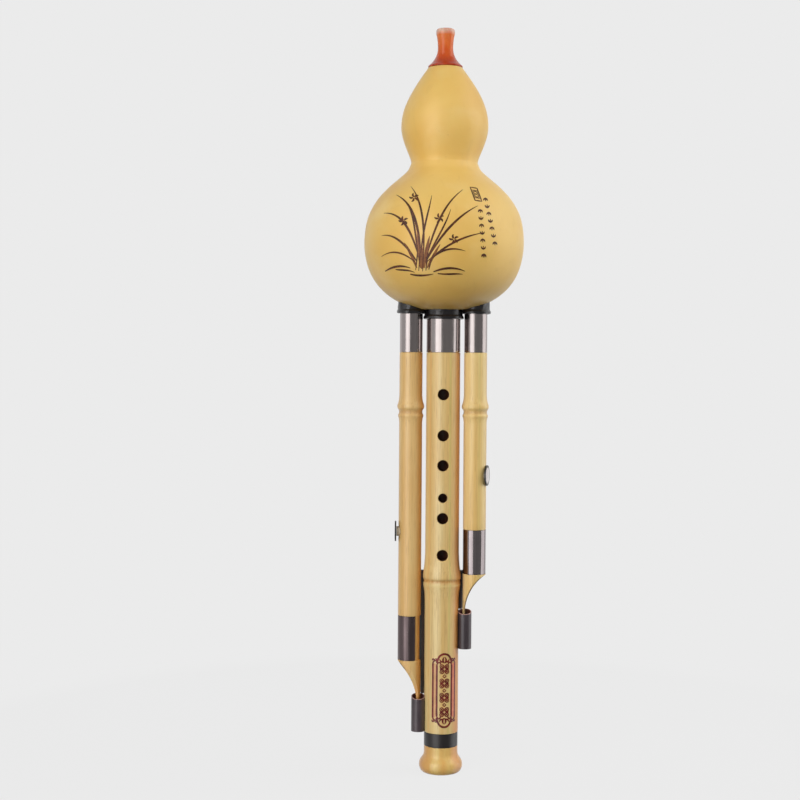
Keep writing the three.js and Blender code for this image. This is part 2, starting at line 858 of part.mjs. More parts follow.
// Everything that hangs from the shoulder line, where the pipes meet their ferrules.
function pipes() {
  return groupOf(
    piece("main_pipe", mainPipe(), bamboo),
    reedAssembly("main", mainReed, mainBore, mainTenonLength),
    ...tenonRings("main", mainFerruleBore, mainTenonLength, mainSealThickness, mainFaces),
    ...[-1, 1].flatMap((side) => [drone(side), tailTube(side), sideStrip(side), droneFerrule(side)]),
    piece("main_ferrule", ring(mainRadius, mainFerruleBore, seatGap, mainFerruleLength, mainFaces), steel),
  );
}

function droneFerrule(side) {
  const tube = ring(droneRadius, droneFerruleBore, seatGap, droneFerruleLength, droneFaces);
  return at(piece(droneSizes(side).name + "_ferrule", tube, steel), side * pipeSpacing, 0, 0);
}

function windChamber() {
  return groupOf(
    piece("gourd", gourdShell(), gourdSkin),
    piece("main_collar", collar(0, mainRadius, mainCollarDrop, mainFaces), rubber),
    piece("left_collar", droneCollar(-1), rubber),
    piece("right_collar", droneCollar(1), rubber),
    at(piece("mouthpiece", mouthpiece(), resin), 0, 0, gourdHeight + seatGap),
  );
}

function foot() {
  const band = ring(mainRadius - ringInset, footTenonRadius + glueGap, 0, ringHeight, mainFaces);
  return groupOf(piece("bell", bell(), bamboo), at(piece("bell_ring", band, horn), 0, 0, ringBase));
}

const hulusi = groupOf(
  foot(),
  at(pipes(), 0, 0, shoulderHeight),
  at(windChamber(), 0, 0, gourdBase),
);
export default hulusi;
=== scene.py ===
# %% [markdown]
# A hulusi is a gourd wind chamber over three bamboo pipes. The player blows into the gourd,
# a bronze reed sounds in the top of each pipe, and the fingers cover the holes of the middle one.
# This lesson dresses the solid model of it: every visible piece is made again with a finer
# surface in the same place, and gets a finish worked out from noise and ramps.
# The model is loaded first, because every piece takes its place and its size from it.

# %% Load the model
import json
from math import atan2, ceil, cos, degrees, pi, radians, sin, sqrt, tan, tau

import bmesh
import bpy
from mathutils import Matrix, Vector, noise
from mathutils.bvhtree import BVHTree
from mathutils.geometry import interpolate_bezier


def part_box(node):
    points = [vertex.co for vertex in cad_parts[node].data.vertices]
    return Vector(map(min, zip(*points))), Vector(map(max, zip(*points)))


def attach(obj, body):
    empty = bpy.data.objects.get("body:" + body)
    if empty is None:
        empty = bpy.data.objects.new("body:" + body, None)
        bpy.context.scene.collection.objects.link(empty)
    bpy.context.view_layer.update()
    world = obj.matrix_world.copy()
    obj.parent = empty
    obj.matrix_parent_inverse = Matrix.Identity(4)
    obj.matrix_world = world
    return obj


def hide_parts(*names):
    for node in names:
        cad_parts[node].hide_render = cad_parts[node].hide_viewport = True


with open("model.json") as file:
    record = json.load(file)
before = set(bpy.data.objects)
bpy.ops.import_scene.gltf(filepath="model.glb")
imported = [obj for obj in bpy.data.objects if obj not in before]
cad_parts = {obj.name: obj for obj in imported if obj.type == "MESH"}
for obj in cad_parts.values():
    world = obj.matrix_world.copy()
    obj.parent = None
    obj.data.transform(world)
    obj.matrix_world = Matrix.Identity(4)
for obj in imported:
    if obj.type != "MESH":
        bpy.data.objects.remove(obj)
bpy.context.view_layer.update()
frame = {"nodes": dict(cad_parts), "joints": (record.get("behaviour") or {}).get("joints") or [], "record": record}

MM = 0.001
nodes = frame["nodes"]
bodies = frame["record"]["behaviour"]["bodies"]
body_of = {node: body for body, members in bodies.items() for node in members}
joints = {joint["name"]: joint for joint in frame["joints"]}
slot_of = {part["node"]: part["material_slot"] for part in frame["record"]["subparts"]}
print("nodes:", len(nodes), "bodies:", len(bodies))

# %% [markdown]
# The camera comes next. The edges of the rings and ferrules curve more and more towards the
# foot of the instrument, and that tells how far away the photographer stood and how high.
# A camera of about 70 mm, nearly level and a little to the left, gives the same curves.

# %% Camera
FRAME_PX = 800
FOCAL_PX = 1564
SENSOR_MM = 36
CAMERA_DISTANCE = 782 * MM
CAMERA_HEIGHT = 209.5 * MM
CAMERA_SIDE = -21.7 * MM
CAMERA_DIP = radians(0.08)
CAMERA_ROLL = radians(0.4)
CROP_PX = -46.2

camera_data = bpy.data.cameras.new("camera")
camera_data.sensor_width = SENSOR_MM
camera_data.lens = FOCAL_PX / FRAME_PX * SENSOR_MM
camera_data.shift_y = CROP_PX / FRAME_PX
camera = bpy.data.objects.new("camera", camera_data)
camera.matrix_world = (
    Matrix.Translation((CAMERA_SIDE, -CAMERA_DISTANCE, CAMERA_HEIGHT))
    @ Matrix.Rotation(pi / 2 - CAMERA_DIP, 4, "X")
    @ Matrix.Rotation(CAMERA_ROLL, 4, "Z")
)
bpy.context.scene.collection.objects.link(camera)
bpy.context.scene.camera = camera
bpy.context.scene.view_settings.view_transform = "Standard"
print("lens in mm:", round(camera_data.lens, 1))

# %% [markdown]
# A finish is a small network of nodes. The same few steps come back in all of them: stretched
# noise read from Object coordinates, a tint where that noise is high, and a bump. Each step
# gets a short helper here, so that a finish later reads like a recipe.

# %% Helpers for finishes
MIX_FACTOR, MIX_FIRST, MIX_SECOND, MIX_COLOUR = 0, 6, 7, 2  # a Mix node's sockets for colours


def paint(red, green, blue):
    """A colour as a screen shows it, from 0 to 255, brought to the linear values of a shader."""
    shares = [value / 255 for value in (red, green, blue)]
    return [s / 12.92 if s <= 0.04045 else ((s + 0.055) / 1.055) ** 2.4 for s in shares] + [1]


def grey(share):
    return (share, share, share, 1)


def feed(tree, socket, value):
    if isinstance(value, bpy.types.NodeSocket):
        tree.links.new(value, socket)
    else:
        socket.default_value = value


def added(tree, kind, sockets=(), **settings):
    """A new node with its settings, and with its inputs linked or given values."""
    node = tree.nodes.new("ShaderNode" + kind)
    for setting, value in settings.items():
        setattr(node, setting, value)
    for socket, value in dict(sockets).items():
        feed(tree, node.inputs[socket], value)
    return node


def coordinates(tree, scale=(1, 1, 1), start=(0, 0, 0)):
    place = added(tree, "TexCoord").outputs["Object"]
    sockets = {"Vector": place, "Location": start, "Scale": scale}
    return added(tree, "Mapping", sockets).outputs["Vector"]


def cloud(tree, scale, detail=3.0, distortion=0.0):
    """Noise with a grain of so many blobs a metre along X, Y and Z, or along all three."""
    if isinstance(scale, int):
        scale = (scale, scale, scale)
    sockets = {"Vector": coordinates(tree, scale), "Scale": 1, "Detail": detail}
    return added(tree, "TexNoise", {**sockets, "Distortion": distortion}).outputs["Fac"]


def ramp(tree, factor, *stops):
    """Colours at places from 0 to 1."""
    node = added(tree, "ValToRGB", {"Fac": factor})
    while len(node.color_ramp.elements) < len(stops):
        node.color_ramp.elements.new(1)
    for element, (place, colour) in zip(node.color_ramp.elements, stops):
        element.position = place
        element.color = colour
    return node.outputs["Color"]


def mixed(tree, factor, first, second, mode="MIX"):
    sockets = {MIX_FACTOR: factor, MIX_FIRST: first, MIX_SECOND: second}
    return added(tree, "Mix", sockets, data_type="RGBA", blend_type=mode).outputs[MIX_COLOUR]


def combined(tree, operation, first, second):
    return added(tree, "Math", {0: first, 1: second}, operation=operation).outputs["Value"]


def vector_math(tree, operation, *values):
    node = added(tree, "VectorMath", enumerate(values), operation=operation)
    return node.outputs["Vector" if operation == "NORMALIZE" else "Value"]


def ranged(tree, value, zero_at, one_at):
    """Turns a value into a share that runs softly from 0 to 1."""
    (low, at_low), (high, at_high) = sorted(((zero_at, 0), (one_at, 1)))
    names = ("Value", "From Min", "From Max", "To Min", "To Max")
    sockets = zip(names, (value, low, high, at_low, at_high))
    return added(tree, "MapRange", sockets, interpolation_type="SMOOTHSTEP").outputs["Result"]


def over_foot(tree):
    """The height over the instrument's foot."""
    return added(tree, "SeparateXYZ", {"Vector": coordinates(tree)}).outputs["Z"]


def height_share(tree, low, high):
    """0 below one height over the foot, 1 above another."""
    return ranged(tree, over_foot(tree), low, high)


def height_band(tree, middle, half_width):
    """1 at a height over the foot, and 0 from half_width away from it."""
    away = combined(tree, "SUBTRACT", over_foot(tree), middle)
    return ranged(tree, combined(tree, "ABSOLUTE", away, 0), half_width, 0)


def from_axis(tree, centre):
    """The level vector from a pipe's axis."""
    return coordinates(tree, (1, 1, 0), (-centre.x, -centre.y, 0))


def depth_share(tree, centre, skin_at, deep_at):
    """0 outside a radius about a pipe's axis, 1 inside a smaller one."""
    return ranged(tree, vector_math(tree, "LENGTH", from_axis(tree, centre)), skin_at, deep_at)


def side_share(tree, centre, turn, full, none):
    """1 within so many degrees of a turn round a pipe from +X, and 0 beyond so many more."""
    outward = vector_math(tree, "NORMALIZE", from_axis(tree, centre))
    middle = (cos(radians(turn)), sin(radians(turn)), 0)
    near = vector_math(tree, "DOT_PRODUCT", outward, middle)
    return ranged(tree, near, cos(radians(none)), cos(radians(full)))


def layered(tree, colour, layers):
    """Lays tints on a colour. A layer says tint, grain, detail, where its noise starts to show
    and where it shows in full, how strongly, and how distorted the noise is."""
    for tint, scale, detail, start, full, strength, *distortion in layers:
        stops = ((start, grey(0)), (full, grey(strength)))
        share = ramp(tree, cloud(tree, scale, detail, *distortion), *stops)
        colour = mixed(tree, share, colour, tint)
    return colour


def complete(tree, surface, colour, bumps, **values):
    """Links a surface's colour, sets its other values and lays bumps on one another. A bump
    says grain, detail, depth in metres and strength."""
    tree.links.new(colour, surface.inputs["Base Color"])
    for name, value in values.items():
        surface.inputs[name.replace("_", " ")].default_value = value
    below = {}
    for scale, detail, depth, strength in bumps:
        sockets = {"Height": cloud(tree, scale, detail), "Distance": depth, "Strength": strength}
        below = {"Normal": added(tree, "Bump", {**sockets, **below}).outputs["Normal"]}
    tree.links.new(below["Normal"], surface.inputs["Normal"])


def finish(name, roughness, metallic=0.0):
    material = bpy.data.materials.new(name)
    material.use_nodes = True
    surface = material.node_tree.nodes["Principled BSDF"]
    surface.inputs["Roughness"].default_value = roughness
    surface.inputs["Metallic"].default_value = metallic
    return material, material.node_tree, surface


def layered_finish(name, roughness, colour, layers, bumps, metallic=0.0, **values):
    material, tree, surface = finish(name, roughness, metallic)
    complete(tree, surface, layered(tree, colour, layers), bumps, **values)
    return material


def opened(material):
    """A finish's tree, its surface and the colour that it has so far."""
    surface = material.node_tree.nodes["Principled BSDF"]
    return material.node_tree, surface, surface.inputs["Base Color"].links[0].from_socket


# %% [markdown]
# Most of the pieces were turned on a lathe, or grew round. Such a piece is an outline spun
# about an axis. The outline is read from the model: the solid is cut by the half-plane through
# its axis, and the cut's edges are the outline. Its coarse corners are then rounded where the
# real curve is smooth and kept where the real piece has an edge.

# %% Helpers for turned pieces
CORNER = radians(27)
SHARP = radians(31)
STRAIGHT = radians(0.3)
SMOOTH_STEPS = 5
AROUND = 96
MERGE = 0.002 * MM
TINY = 0.001 * MM
CORNER_SHARE = 0.45  # how much of a side an eased corner may take


def placement(centre, axis=(0, 0, 1), turn=0.0):
    """From a piece's own frame, with its axis along Z, to its place on the instrument."""
    along = Vector(axis)
    across = Vector((1, 0, 0)) if abs(along.z) > 0.5 else Vector((0, 0, 1))
    own = Matrix((across, along.cross(across), along)).transposed().to_4x4()
    return Matrix.Translation(centre) @ own @ Matrix.Rotation(turn, 4, "Z")


def outline_of(node, place):
    """The points (radius, height) of a turned solid, in order round its cut."""
    bm = bmesh.new()
    bm.from_mesh(nodes[node].data)
    bmesh.ops.remove_doubles(bm, verts=bm.verts, dist=MERGE)
    bmesh.ops.transform(bm, matrix=place.inverted(), verts=bm.verts)
    for normal, both in (((1, 0, 0), False), ((0, 1, 0), True)):
        bmesh.ops.bisect_plane(
            bm,
            geom=bm.verts[:] + bm.edges[:] + bm.faces[:],
            dist=TINY,
            plane_co=(0, 0, 0),
            plane_no=normal,
            clear_inner=True,
            clear_outer=both,
        )
    loose = [v for v in bm.verts if not v.link_edges]
    bmesh.ops.delete(bm, geom=loose, context="VERTS")
    ends = [v for v in bm.verts if len(v.link_edges) == 1]
    here = min(ends or bm.verts, key=lambda v: (v.co.z, -v.co.x))
    points, seen = [], set()
    while here is not None:
        seen.add(here)
        points.append((max(here.co.x, 0), here.co.z))
        ways = [e.other_vert(here) for e in here.link_edges]
        here = next((v for v in ways if v not in seen), None)
    bm.free()
    return points, not ends


def turning(before, here, after):
    """The change of direction at a point of an outline."""
    first, second = Vector(here) - Vector(before), Vector(after) - Vector(here)
    if not first.length or not second.length:
        return 0
    return first.angle(second)


def smoothed(points, closed):
    """The same outline with its gentle corners rounded by a curve through its points."""

    def bend(path, i):
        if not closed and i in (0, len(path) - 1):
            return pi
        return turning(path[i - 1], path[i], path[(i + 1) % len(path)])

    kept = [p for i, p in enumerate(points) if bend(points, i) > STRAIGHT]
    size = len(kept)
    sharp = [bend(kept, i) > CORNER for i in range(size)]
    result = []
    for i in range(size if closed else size - 1):
        j = (i + 1) % size
        start, end = Vector(kept[i]), Vector(kept[j])
        if sharp[i] and sharp[j]:
            result.append(start)
            continue
        lead = tail = end - start
        reach = lead.length / 3
        if not sharp[i]:
            lead = (end - Vector(kept[i - 1])).normalized() * reach * 3
        if not sharp[j]:
            tail = (Vector(kept[(j + 1) % size]) - start).normalized() * reach * 3
        handles = (start, start + lead / 3, end - tail / 3, end)
        curve = interpolate_bezier(*(p.to_3d() for p in handles), SMOOTH_STEPS + 1)
        result.extend(p.to_2d() for p in curve[:-1])
    if not closed:
        result.append(Vector(kept[-1]))
    return result


def rounded(points, closed, width):
    """The outline with its sharp corners eased, because no real edge is quite sharp."""
    result = []
    size = len(points)
    for i, here in enumerate(points):
        before, after = Vector(points[i - 1]), Vector(points[(i + 1) % size])
        here = Vector(here)
        ends = not closed and i in (0, size - 1)
        if ends or turning(before, here, after) < CORNER:
            result.append(here)
            continue
        start, end = (
            here + (side - here).normalized() * min(width, (side - here).length * CORNER_SHARE)
            for side in (before, after)
        )
        for share in (0, 0.33, 0.67, 1):
            first, second = start.lerp(here, share), here.lerp(end, share)
            result.append(first.lerp(second, share))
    return result


def divided(points, closed, longest):
    """The outline with its long straights split, so that the surface can be roughened."""
    result = []
    size = len(points)
    for i in range(size if closed else size - 1):
        start, end = Vector(points[i]), Vector(points[(i + 1) % size])
        parts = max(1, ceil((end - start).length / longest))
        result.extend(start.lerp(end, k / parts) for k in range(parts))
    if not closed:
        result.append(Vector(points[-1]))
    return result


def spun(points, closed, around=AROUND):
    """A bmesh of the outline spun about Z."""
    bm = bmesh.new()
    verts = [bm.verts.new((r, 0, z)) for r, z in points]
    edges = [bm.edges.new(pair) for pair in zip(verts, verts[1:])]
    if closed:
        edges.append(bm.edges.new((verts[-1], verts[0])))
    bmesh.ops.spin(
        bm,
        geom=verts + edges,
        cent=(0, 0, 0),
        axis=(0, 0, 1),
        angle=tau,
        steps=around,
        use_merge=True,
    )
    bmesh.ops.remove_doubles(bm, verts=bm.verts, dist=MERGE)
    bmesh.ops.recalc_face_normals(bm, faces=bm.faces)
    return bm


def eased(bm, width):
    """Rounds the sharp edges, which no real piece has."""
    bmesh.ops.dissolve_degenerate(bm, edges=bm.edges, dist=TINY)
    edges = [e for e in bm.edges if len(e.link_faces) == 2 and e.calc_face_angle(0) > CORNER]
    bmesh.ops.bevel(
        bm,
        geom=edges,
        offset=width,
        segments=2,
        profile=0.5,
        affect="EDGES",
        material=-1,
        clamp_overlap=True,
    )
    return bm


def made(name, bm, material, node=None, body=None, slot=None):
    """Finishes a bmesh as a piece that stands for a node, or rides on a body."""
    bmesh.ops.recalc_face_normals(bm, faces=bm.faces)
    mesh = bpy.data.meshes.new(name)
    bm.to_mesh(mesh)
    bm.free()
    dressed(name, mesh, material, node, body, slot)


def dressed(name, mesh, material, node=None, body=None, slot=None):
    """Makes a piece of a mesh, with soft shading between its sharp edges."""
    mesh.materials.clear()
    mesh.materials.append(material)
    mesh.shade_smooth()
    mesh.set_sharp_from_angle(angle=SHARP)
    piece = bpy.data.objects.new(name, mesh)
    bpy.context.scene.collection.objects.link(piece)
    if node:
        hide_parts(node)
    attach(piece, body or body_of[node])
    slot or slot_of[node]
    return piece


def turned(node, material, centre, ease, axis=(0, 0, 1), turn=0.0, shaped=None):
    """A finer copy of a turned solid, in its place. Shaped may give it other radii."""
    place = placement(centre, axis, turn)
    points, closed = outline_of(node, place)
    outline = rounded(smoothed(points, closed), closed, ease)
    if shaped:
        outline = [(shaped(r, z), z) for r, z in divided(outline, closed, 1 * MM)]
    bm = spun(outline, closed)
    bmesh.ops.transform(bm, matrix=place, verts=bm.verts)
    made(node + "_finish", bm, material, node)


def level(point):
    """The level part of a vector."""
    return Vector((point.x, point.y, 0))


def solid(bm):
    """A bare object from a bmesh, to cut with or to be cut."""
    mesh = bpy.data.meshes.new("stock")
    bmesh.ops.recalc_face_normals(bm, faces=bm.faces)
    bm.to_mesh(mesh)
    bm.free()
    stock = bpy.data.objects.new("stock", mesh)
    bpy.context.scene.collection.objects.link(stock)
    return stock


def verts_of(geom):
    return [g for g in geom if isinstance(g, bmesh.types.BMVert)]


def moved(bm, shift):
    """Moves a whole bmesh."""
    bmesh.ops.translate(bm, verts=bm.verts, vec=shift)


def cut(stock, cutters):
    """The mesh that is left when the cutters are taken out of the stock."""
    for cutter in cutters:
        modifier = stock.modifiers.new("cut", "BOOLEAN")
        modifier.operation = "DIFFERENCE"
        modifier.solver = "EXACT"
        modifier.object = cutter
    bpy.context.view_layer.update()
    graph = bpy.context.evaluated_depsgraph_get()
    mesh = bpy.data.meshes.new_from_object(stock.evaluated_get(graph))
    for thing in [stock, *cutters]:
        bpy.data.objects.remove(thing)
    return mesh


# %% [markdown]
# The instrument's main sizes are read from the model once: where the three pipes stand, and
# where the ferrules meet the bamboo. All the places below are worked out from them.

# %% Sizes from the model
def spread(node):
    """The lowest and highest corner of a node's box."""
    low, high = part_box(node)
    return Vector(low), Vector(high)


ferrule_low, ferrule_high = spread("main_ferrule")
MAIN_RADIUS = (ferrule_high.x - ferrule_low.x) / 2
SHOULDER = ferrule_low.z
left_low, left_high = spread("left_ferrule")
right_low, right_high = spread("right_ferrule")
DRONE_RADIUS = (left_high.x - left_low.x) / 2
MAIN_CENTRE = Vector((0, 0, 0))
LEFT_CENTRE = Vector(((left_low.x + left_high.x) / 2, 0, 0))
RIGHT_CENTRE = Vector(((right_low.x + right_high.x) / 2, 0, 0))
CENTRES = {"main": MAIN_CENTRE, "left": LEFT_CENTRE, "right": RIGHT_CENTRE}
SIDES = ("left", "right")
PIPE_FOOT = spread("bell_ring")[1].z
GOURD_BASE, GOURD_TOP = (corner.z for corner in spread("gourd"))
LIP = spread("mouthpiece")[1].z
print("radii in mm:", [round(radius / MM, 2) for radius in (MAIN_RADIUS, DRONE_RADIUS)])

# %% [markdown]
# The floor is a wide plain sheet. For the camera it glows with the pale grey of the photograph's
# background, and near the foot it lets a little real shading through, so that the instrument
# keeps its shadow. Two tall lamps show only in reflections: they draw the bright strips down
# the steel ferrules. Broad soft lamps that don't show in reflections give the light itself.

# %% Floor, sky and lamps
BACKDROP = paint(235, 235, 235)
FLOOR_SIZE = 12
FLOOR_DROP = 0.05 * MM
SHADOW_REACH = 0.32
NEAR_GLOW = 0.95
STUDIO_GLOSS = 0.24
STUDIO_GLOSS_LEFT = 0.6
FLOOR_TO_CAMERA = grey(0.95)
FLOOR_TO_OBJECT = grey(0.16)
AIM = Vector((0, 0, 0.2))  # about the middle of the instrument


def seen_directly(tree):
    """1 for a ray from the camera, also through something clear."""
    path = added(tree, "LightPath").outputs
    return combined(tree, "MAXIMUM", path["Is Camera Ray"], path["Is Transmission Ray"])


def shown(tree, output, share, first, second):
    """Mixes two shaders and sends them to the output."""
    mix = added(tree, "MixShader", {0: share, 1: first, 2: second})
    tree.links.new(mix.outputs["Shader"], tree.nodes[output].inputs["Surface"])


def floor_finish():
    material, tree, surface = finish("floor", 0.7)
    tree.nodes.remove(surface)
    to_camera = added(tree, "LightPath").outputs["Is Camera Ray"]
    shade = mixed(tree, to_camera, FLOOR_TO_OBJECT, FLOOR_TO_CAMERA)
    matt = added(tree, "BsdfDiffuse", {"Color": shade}).outputs["BSDF"]
    glow = added(tree, "Emission", {"Color": BACKDROP}).outputs["Emission"]
    away = ranged(tree, vector_math(tree, "LENGTH", coordinates(tree)), 0, SHADOW_REACH)
    glowing = combined(tree, "MAXIMUM", away, NEAR_GLOW)
    share = combined(tree, "MULTIPLY", seen_directly(tree), glowing)
    shown(tree, "Material Output", share, matt, glow)
    return material


floor_bm = bmesh.new()
bmesh.ops.create_grid(floor_bm, x_segments=4, y_segments=4, size=FLOOR_SIZE)
moved(floor_bm, (0, 0, -FLOOR_DROP))
floor_mesh = bpy.data.meshes.new("floor")
floor_bm.to_mesh(floor_mesh)
floor_bm.free()
floor_mesh.materials.append(floor_finish())
floor = bpy.data.objects.new("floor", floor_mesh)
floor.visible_glossy = False
bpy.context.scene.collection.objects.link(floor)


def sky():
    """Dim from below, even from the sides, pale behind the instrument and in direct view."""
    world = bpy.data.worlds.new("studio")
    world.use_nodes = True
    tree = world.node_tree
    place = added(tree, "TexCoord").outputs["Generated"]
    way = added(tree, "SeparateXYZ", {"Vector": place}).outputs
    sockets = {"Value": way["Z"], "From Min": -0.6, "From Max": 0.9}
    rise = added(tree, "MapRange", sockets).outputs["Result"]
    lit = tree.nodes["Background"]
    lit.inputs["Strength"].default_value = 1
    colours = ramp(tree, rise, (0, grey(0.04)), (0.4, grey(0.24)), (1, grey(0.26)))
    tree.links.new(colours, lit.inputs["Color"])
    seen = seen_directly(tree)
    at_left = ranged(tree, way["X"], -0.5, -0.9)
    around = mixed(tree, at_left, grey(STUDIO_GLOSS), grey(STUDIO_GLOSS_LEFT))
    around = mixed(tree, ranged(tree, way["Y"], 0.1, 0.6), around, BACKDROP)
    backdrop = added(tree, "Background", {"Color": mixed(tree, seen, around, BACKDROP)})
    mirrored = added(tree, "LightPath").outputs["Is Glossy Ray"]
    share = combined(tree, "MAXIMUM", seen, mirrored)
    ends = [node.outputs["Background"] for node in (lit, backdrop)]
    shown(tree, "World Output", share, *ends)
    return world


bpy.context.scene.world = sky()


def softbox(name, azimuth, distance, height, width, tall, power, mirrored=False):
    """A lamp at an azimuth from straight in front, positive to the right, aimed at AIM."""
    data = bpy.data.lights.new(name, "AREA")
    data.shape = "RECTANGLE"
    data.size, data.size_y = width, tall
    data.energy = power
    turn = radians(azimuth)
    lamp = bpy.data.objects.new(name, data)
    place = Vector((sin(turn) * distance, -cos(turn) * distance, height))
    facing = (AIM - place).to_track_quat("-Z", "Y").to_matrix().to_4x4()
    lamp.matrix_world = Matrix.Translation(place) @ facing
    lamp.visible_camera = False
    lamp.visible_glossy = mirrored
    lamp.visible_diffuse = not mirrored
    bpy.context.scene.collection.objects.link(lamp)


softbox("left_strip_light", -37, 1.3, 0.2, 0.95, 3, 16, mirrored=True)
softbox("right_strip_light", 93, 1.2, 0.2, 0.9, 3, 11, mirrored=True)
softbox("left_softbox", -33, 1.3, 0.22, 1.1, 1.3, 19.5)
softbox("front_softbox", 12, 1.5, 0.5, 1.3, 1.3, 2)
softbox("right_softbox", 100, 1.2, 0.3, 1.0, 1.2, 8.5)
softbox("right_high_softbox", 75, 1.0, 1.0, 1.0, 0.8, 6)

# %% [markdown]
# Bamboo is a bundle of straight fibres under a hard skin. Close up it shows fine pale and dark
# lines along the pipe, broader bands where the skin was scraped, and an orange-brown scar
# round the groove of a node, with painted shade laid in the groove. The lines and bands are
# noise stretched along Z. Tints by the turn round a pipe are mostly painted shade and painted
# light on its edges, orange-brown and pale, with a few greenish fibre lines.

# %% Bamboo finish
RIBS = ((1500, 1500, 26), 3)
FIBRES = ((4200, 4200, 60), 2)
FLECK = paint(150, 98, 46)
PALE_FIBRE = paint(240, 222, 176)
# The bore's own dark brown, which also stands as painted shade inside holes and on cut walls.
BORE_AND_CUT_SHADE = paint(112, 66, 44)


def bamboo_finish(
    name, skins, centre, radius, depths, node_bands=(), side_tints_and_painted_edges=(), grain=1.0, roughness=0.36, gloss=0.3
):
    """Skins are pale, warm and dark. Depths, in mm under the radius, are where the skin's
    colours end and the bore's dark brown is full, which is also painted shade in holes and cuts.
    A node band says height, reach, strength and tint; the brown ones are a node's scar with
    painted shade in its groove. A side tint says turn, where it is full, where it ends, strength
    and tint; most are painted shade and painted light on the pipe's edges."""
    material, tree, surface = finish(name, roughness)
    pale, warm, dark = [paint(*skin) for skin in skins]
    layers = (
        (warm, (190, 190, 5), 2, 0.36, 0.64, 1),
        (warm, (45, 45, 22), 4, 0.5, 0.72, 0.5),
        (dark, *RIBS, 0.5, 0.72, 0.5 * grain),
        (FLECK, (2000, 2000, 110), 2, 0.57, 0.68, 0.4 * grain),
        (dark, *FIBRES, 0.55, 0.8, 0.35 * grain),
        (PALE_FIBRE, (2600, 2600, 35), 2, 0.58, 0.8, 0.3 * grain),
    )
    colour = layered(tree, pale, layers)
    # Tints by the turn: mostly painted shade and painted light on the pipe's edges, apart from narrow greenish
    # fibre lines.
    for turn, full, none, strength, tint in side_tints_and_painted_edges:
        side = side_share(tree, centre, turn, full, none)
        colour = mixed(tree, combined(tree, "MULTIPLY", side, strength), colour, paint(*tint))
    # A brown node band is a node's scar with painted shade in its groove; a pale one lies on the lip under it.
    for middle, half_width, strength, tint in node_bands:
        band_share = mixed(tree, height_band(tree, middle, half_width * MM), grey(0), grey(strength))
        rough = ramp(tree, cloud(tree, (900, 900, 500), 3), (0.3, grey(0.3)), (0.6, grey(1)))
        colour = mixed(tree, mixed(tree, 1.0, band_share, rough, "MULTIPLY"), colour, paint(*tint))
    # Deep in the wall: the bore's colour, also painted shade in holes and on the tails' cuts.
    bore_and_shade = depth_share(tree, centre, *(radius - depth * MM for depth in depths))
    bumps = [(*RIBS, 0.04 * MM, 0.5 * grain), (*FIBRES, 0.02 * MM, 0.5)]
    gloss_values = {"Coat_Weight": gloss, "Coat_Roughness": 0.22}
    complete(tree, surface, mixed(tree, bore_and_shade, colour, BORE_AND_CUT_SHADE), bumps, **gloss_values)
    return material


# %% [markdown]
# The model's node is a ridge over a groove over a smaller ridge. The groove's height is found
# on the outline: it is the first place below the highest ridge where the pipe widens again.

# %% Where the nodes of the bamboo are
SWOLLEN = 0.02 * MM  # what counts as more than the pipe itself


def groove_height(node, place, radius):
    """The height of the groove under a node's highest ridge."""
    points, _ = outline_of(node, place)
    swollen = sorted(((z, r) for r, z in points if r > radius + SWOLLEN), reverse=True)
    here = max(range(len(swollen)), key=lambda i: swollen[i][1])
    while here + 1 < len(swollen) and swollen[here + 1][1] < swollen[here][1]:
        here += 1
    return swollen[here][0]


BACK, FRONT = pi / 2, -pi / 2
SLANTED = pi / 4  # a turn that misses the holes in front and behind
main_place = placement(MAIN_CENTRE, turn=SLANTED)
MAIN_GROOVE = groove_height("main_pipe", main_place, MAIN_RADIUS)
LEFT_GROOVE, RIGHT_GROOVE = (
    groove_height(side + "_drone", placement(CENTRES[side], turn=FRONT), DRONE_RADIUS)
    for side in SIDES
)
print("grooves at mm:", [round(z / MM, 1) for z in (MAIN_GROOVE, LEFT_GROOVE, RIGHT_GROOVE)])

# Orange-brown painted shade for a pipe's edge.
EDGE_SHADE_BROWN = (206, 124, 54)
# The scar round a drone's node, with painted shade in its groove.
SCAR_AND_SHADE_BROWN = (166, 106, 46)
main_bamboo = bamboo_finish(
    "main_bamboo",
    ((227, 202, 142), (217, 178, 108), (172, 128, 68)),
    MAIN_CENTRE,
    MAIN_RADIUS,
    (0.2, 1.2),
    [
        # the scar with painted shade in the groove, then a pale band on the lip
        (MAIN_GROOVE + 0.3 * MM, 1.6, 0.8, (178, 120, 50)),
        (MAIN_GROOVE - 1.9 * MM, 0.9, 0.6, (230, 204, 138)),
    ],
    [
        # painted shade on the right edge, a greenish fibre line, a thin orange line near the left edge, and
        # painted light on the left edge
        (-15, 8, 40, 0.7, EDGE_SHADE_BROWN),
        (-66, 1.5, 4.5, 0.22, (188, 198, 96)),
        (-140, 3, 8, 0.35, (228, 164, 84)),
        (-168, 10, 34, 0.6, (240, 212, 148)),
    ],
    grain=0.7,
)
left_bamboo = bamboo_finish(
    "left_bamboo",
    ((227, 192, 128), (217, 170, 100), (170, 120, 62)),
    LEFT_CENTRE,
    DRONE_RADIUS,
    (1.7, 2.3),
    [(LEFT_GROOVE, 1.6, 0.4, SCAR_AND_SHADE_BROWN)],
    # painted shade on the right edge, which faces the melody pipe, and a pinkish tint on the left edge
    [(-16, 12, 46, 0.66, (202, 134, 54)), (-168, 4, 14, 0.35, (222, 170, 120))],
    grain=0.5,
)
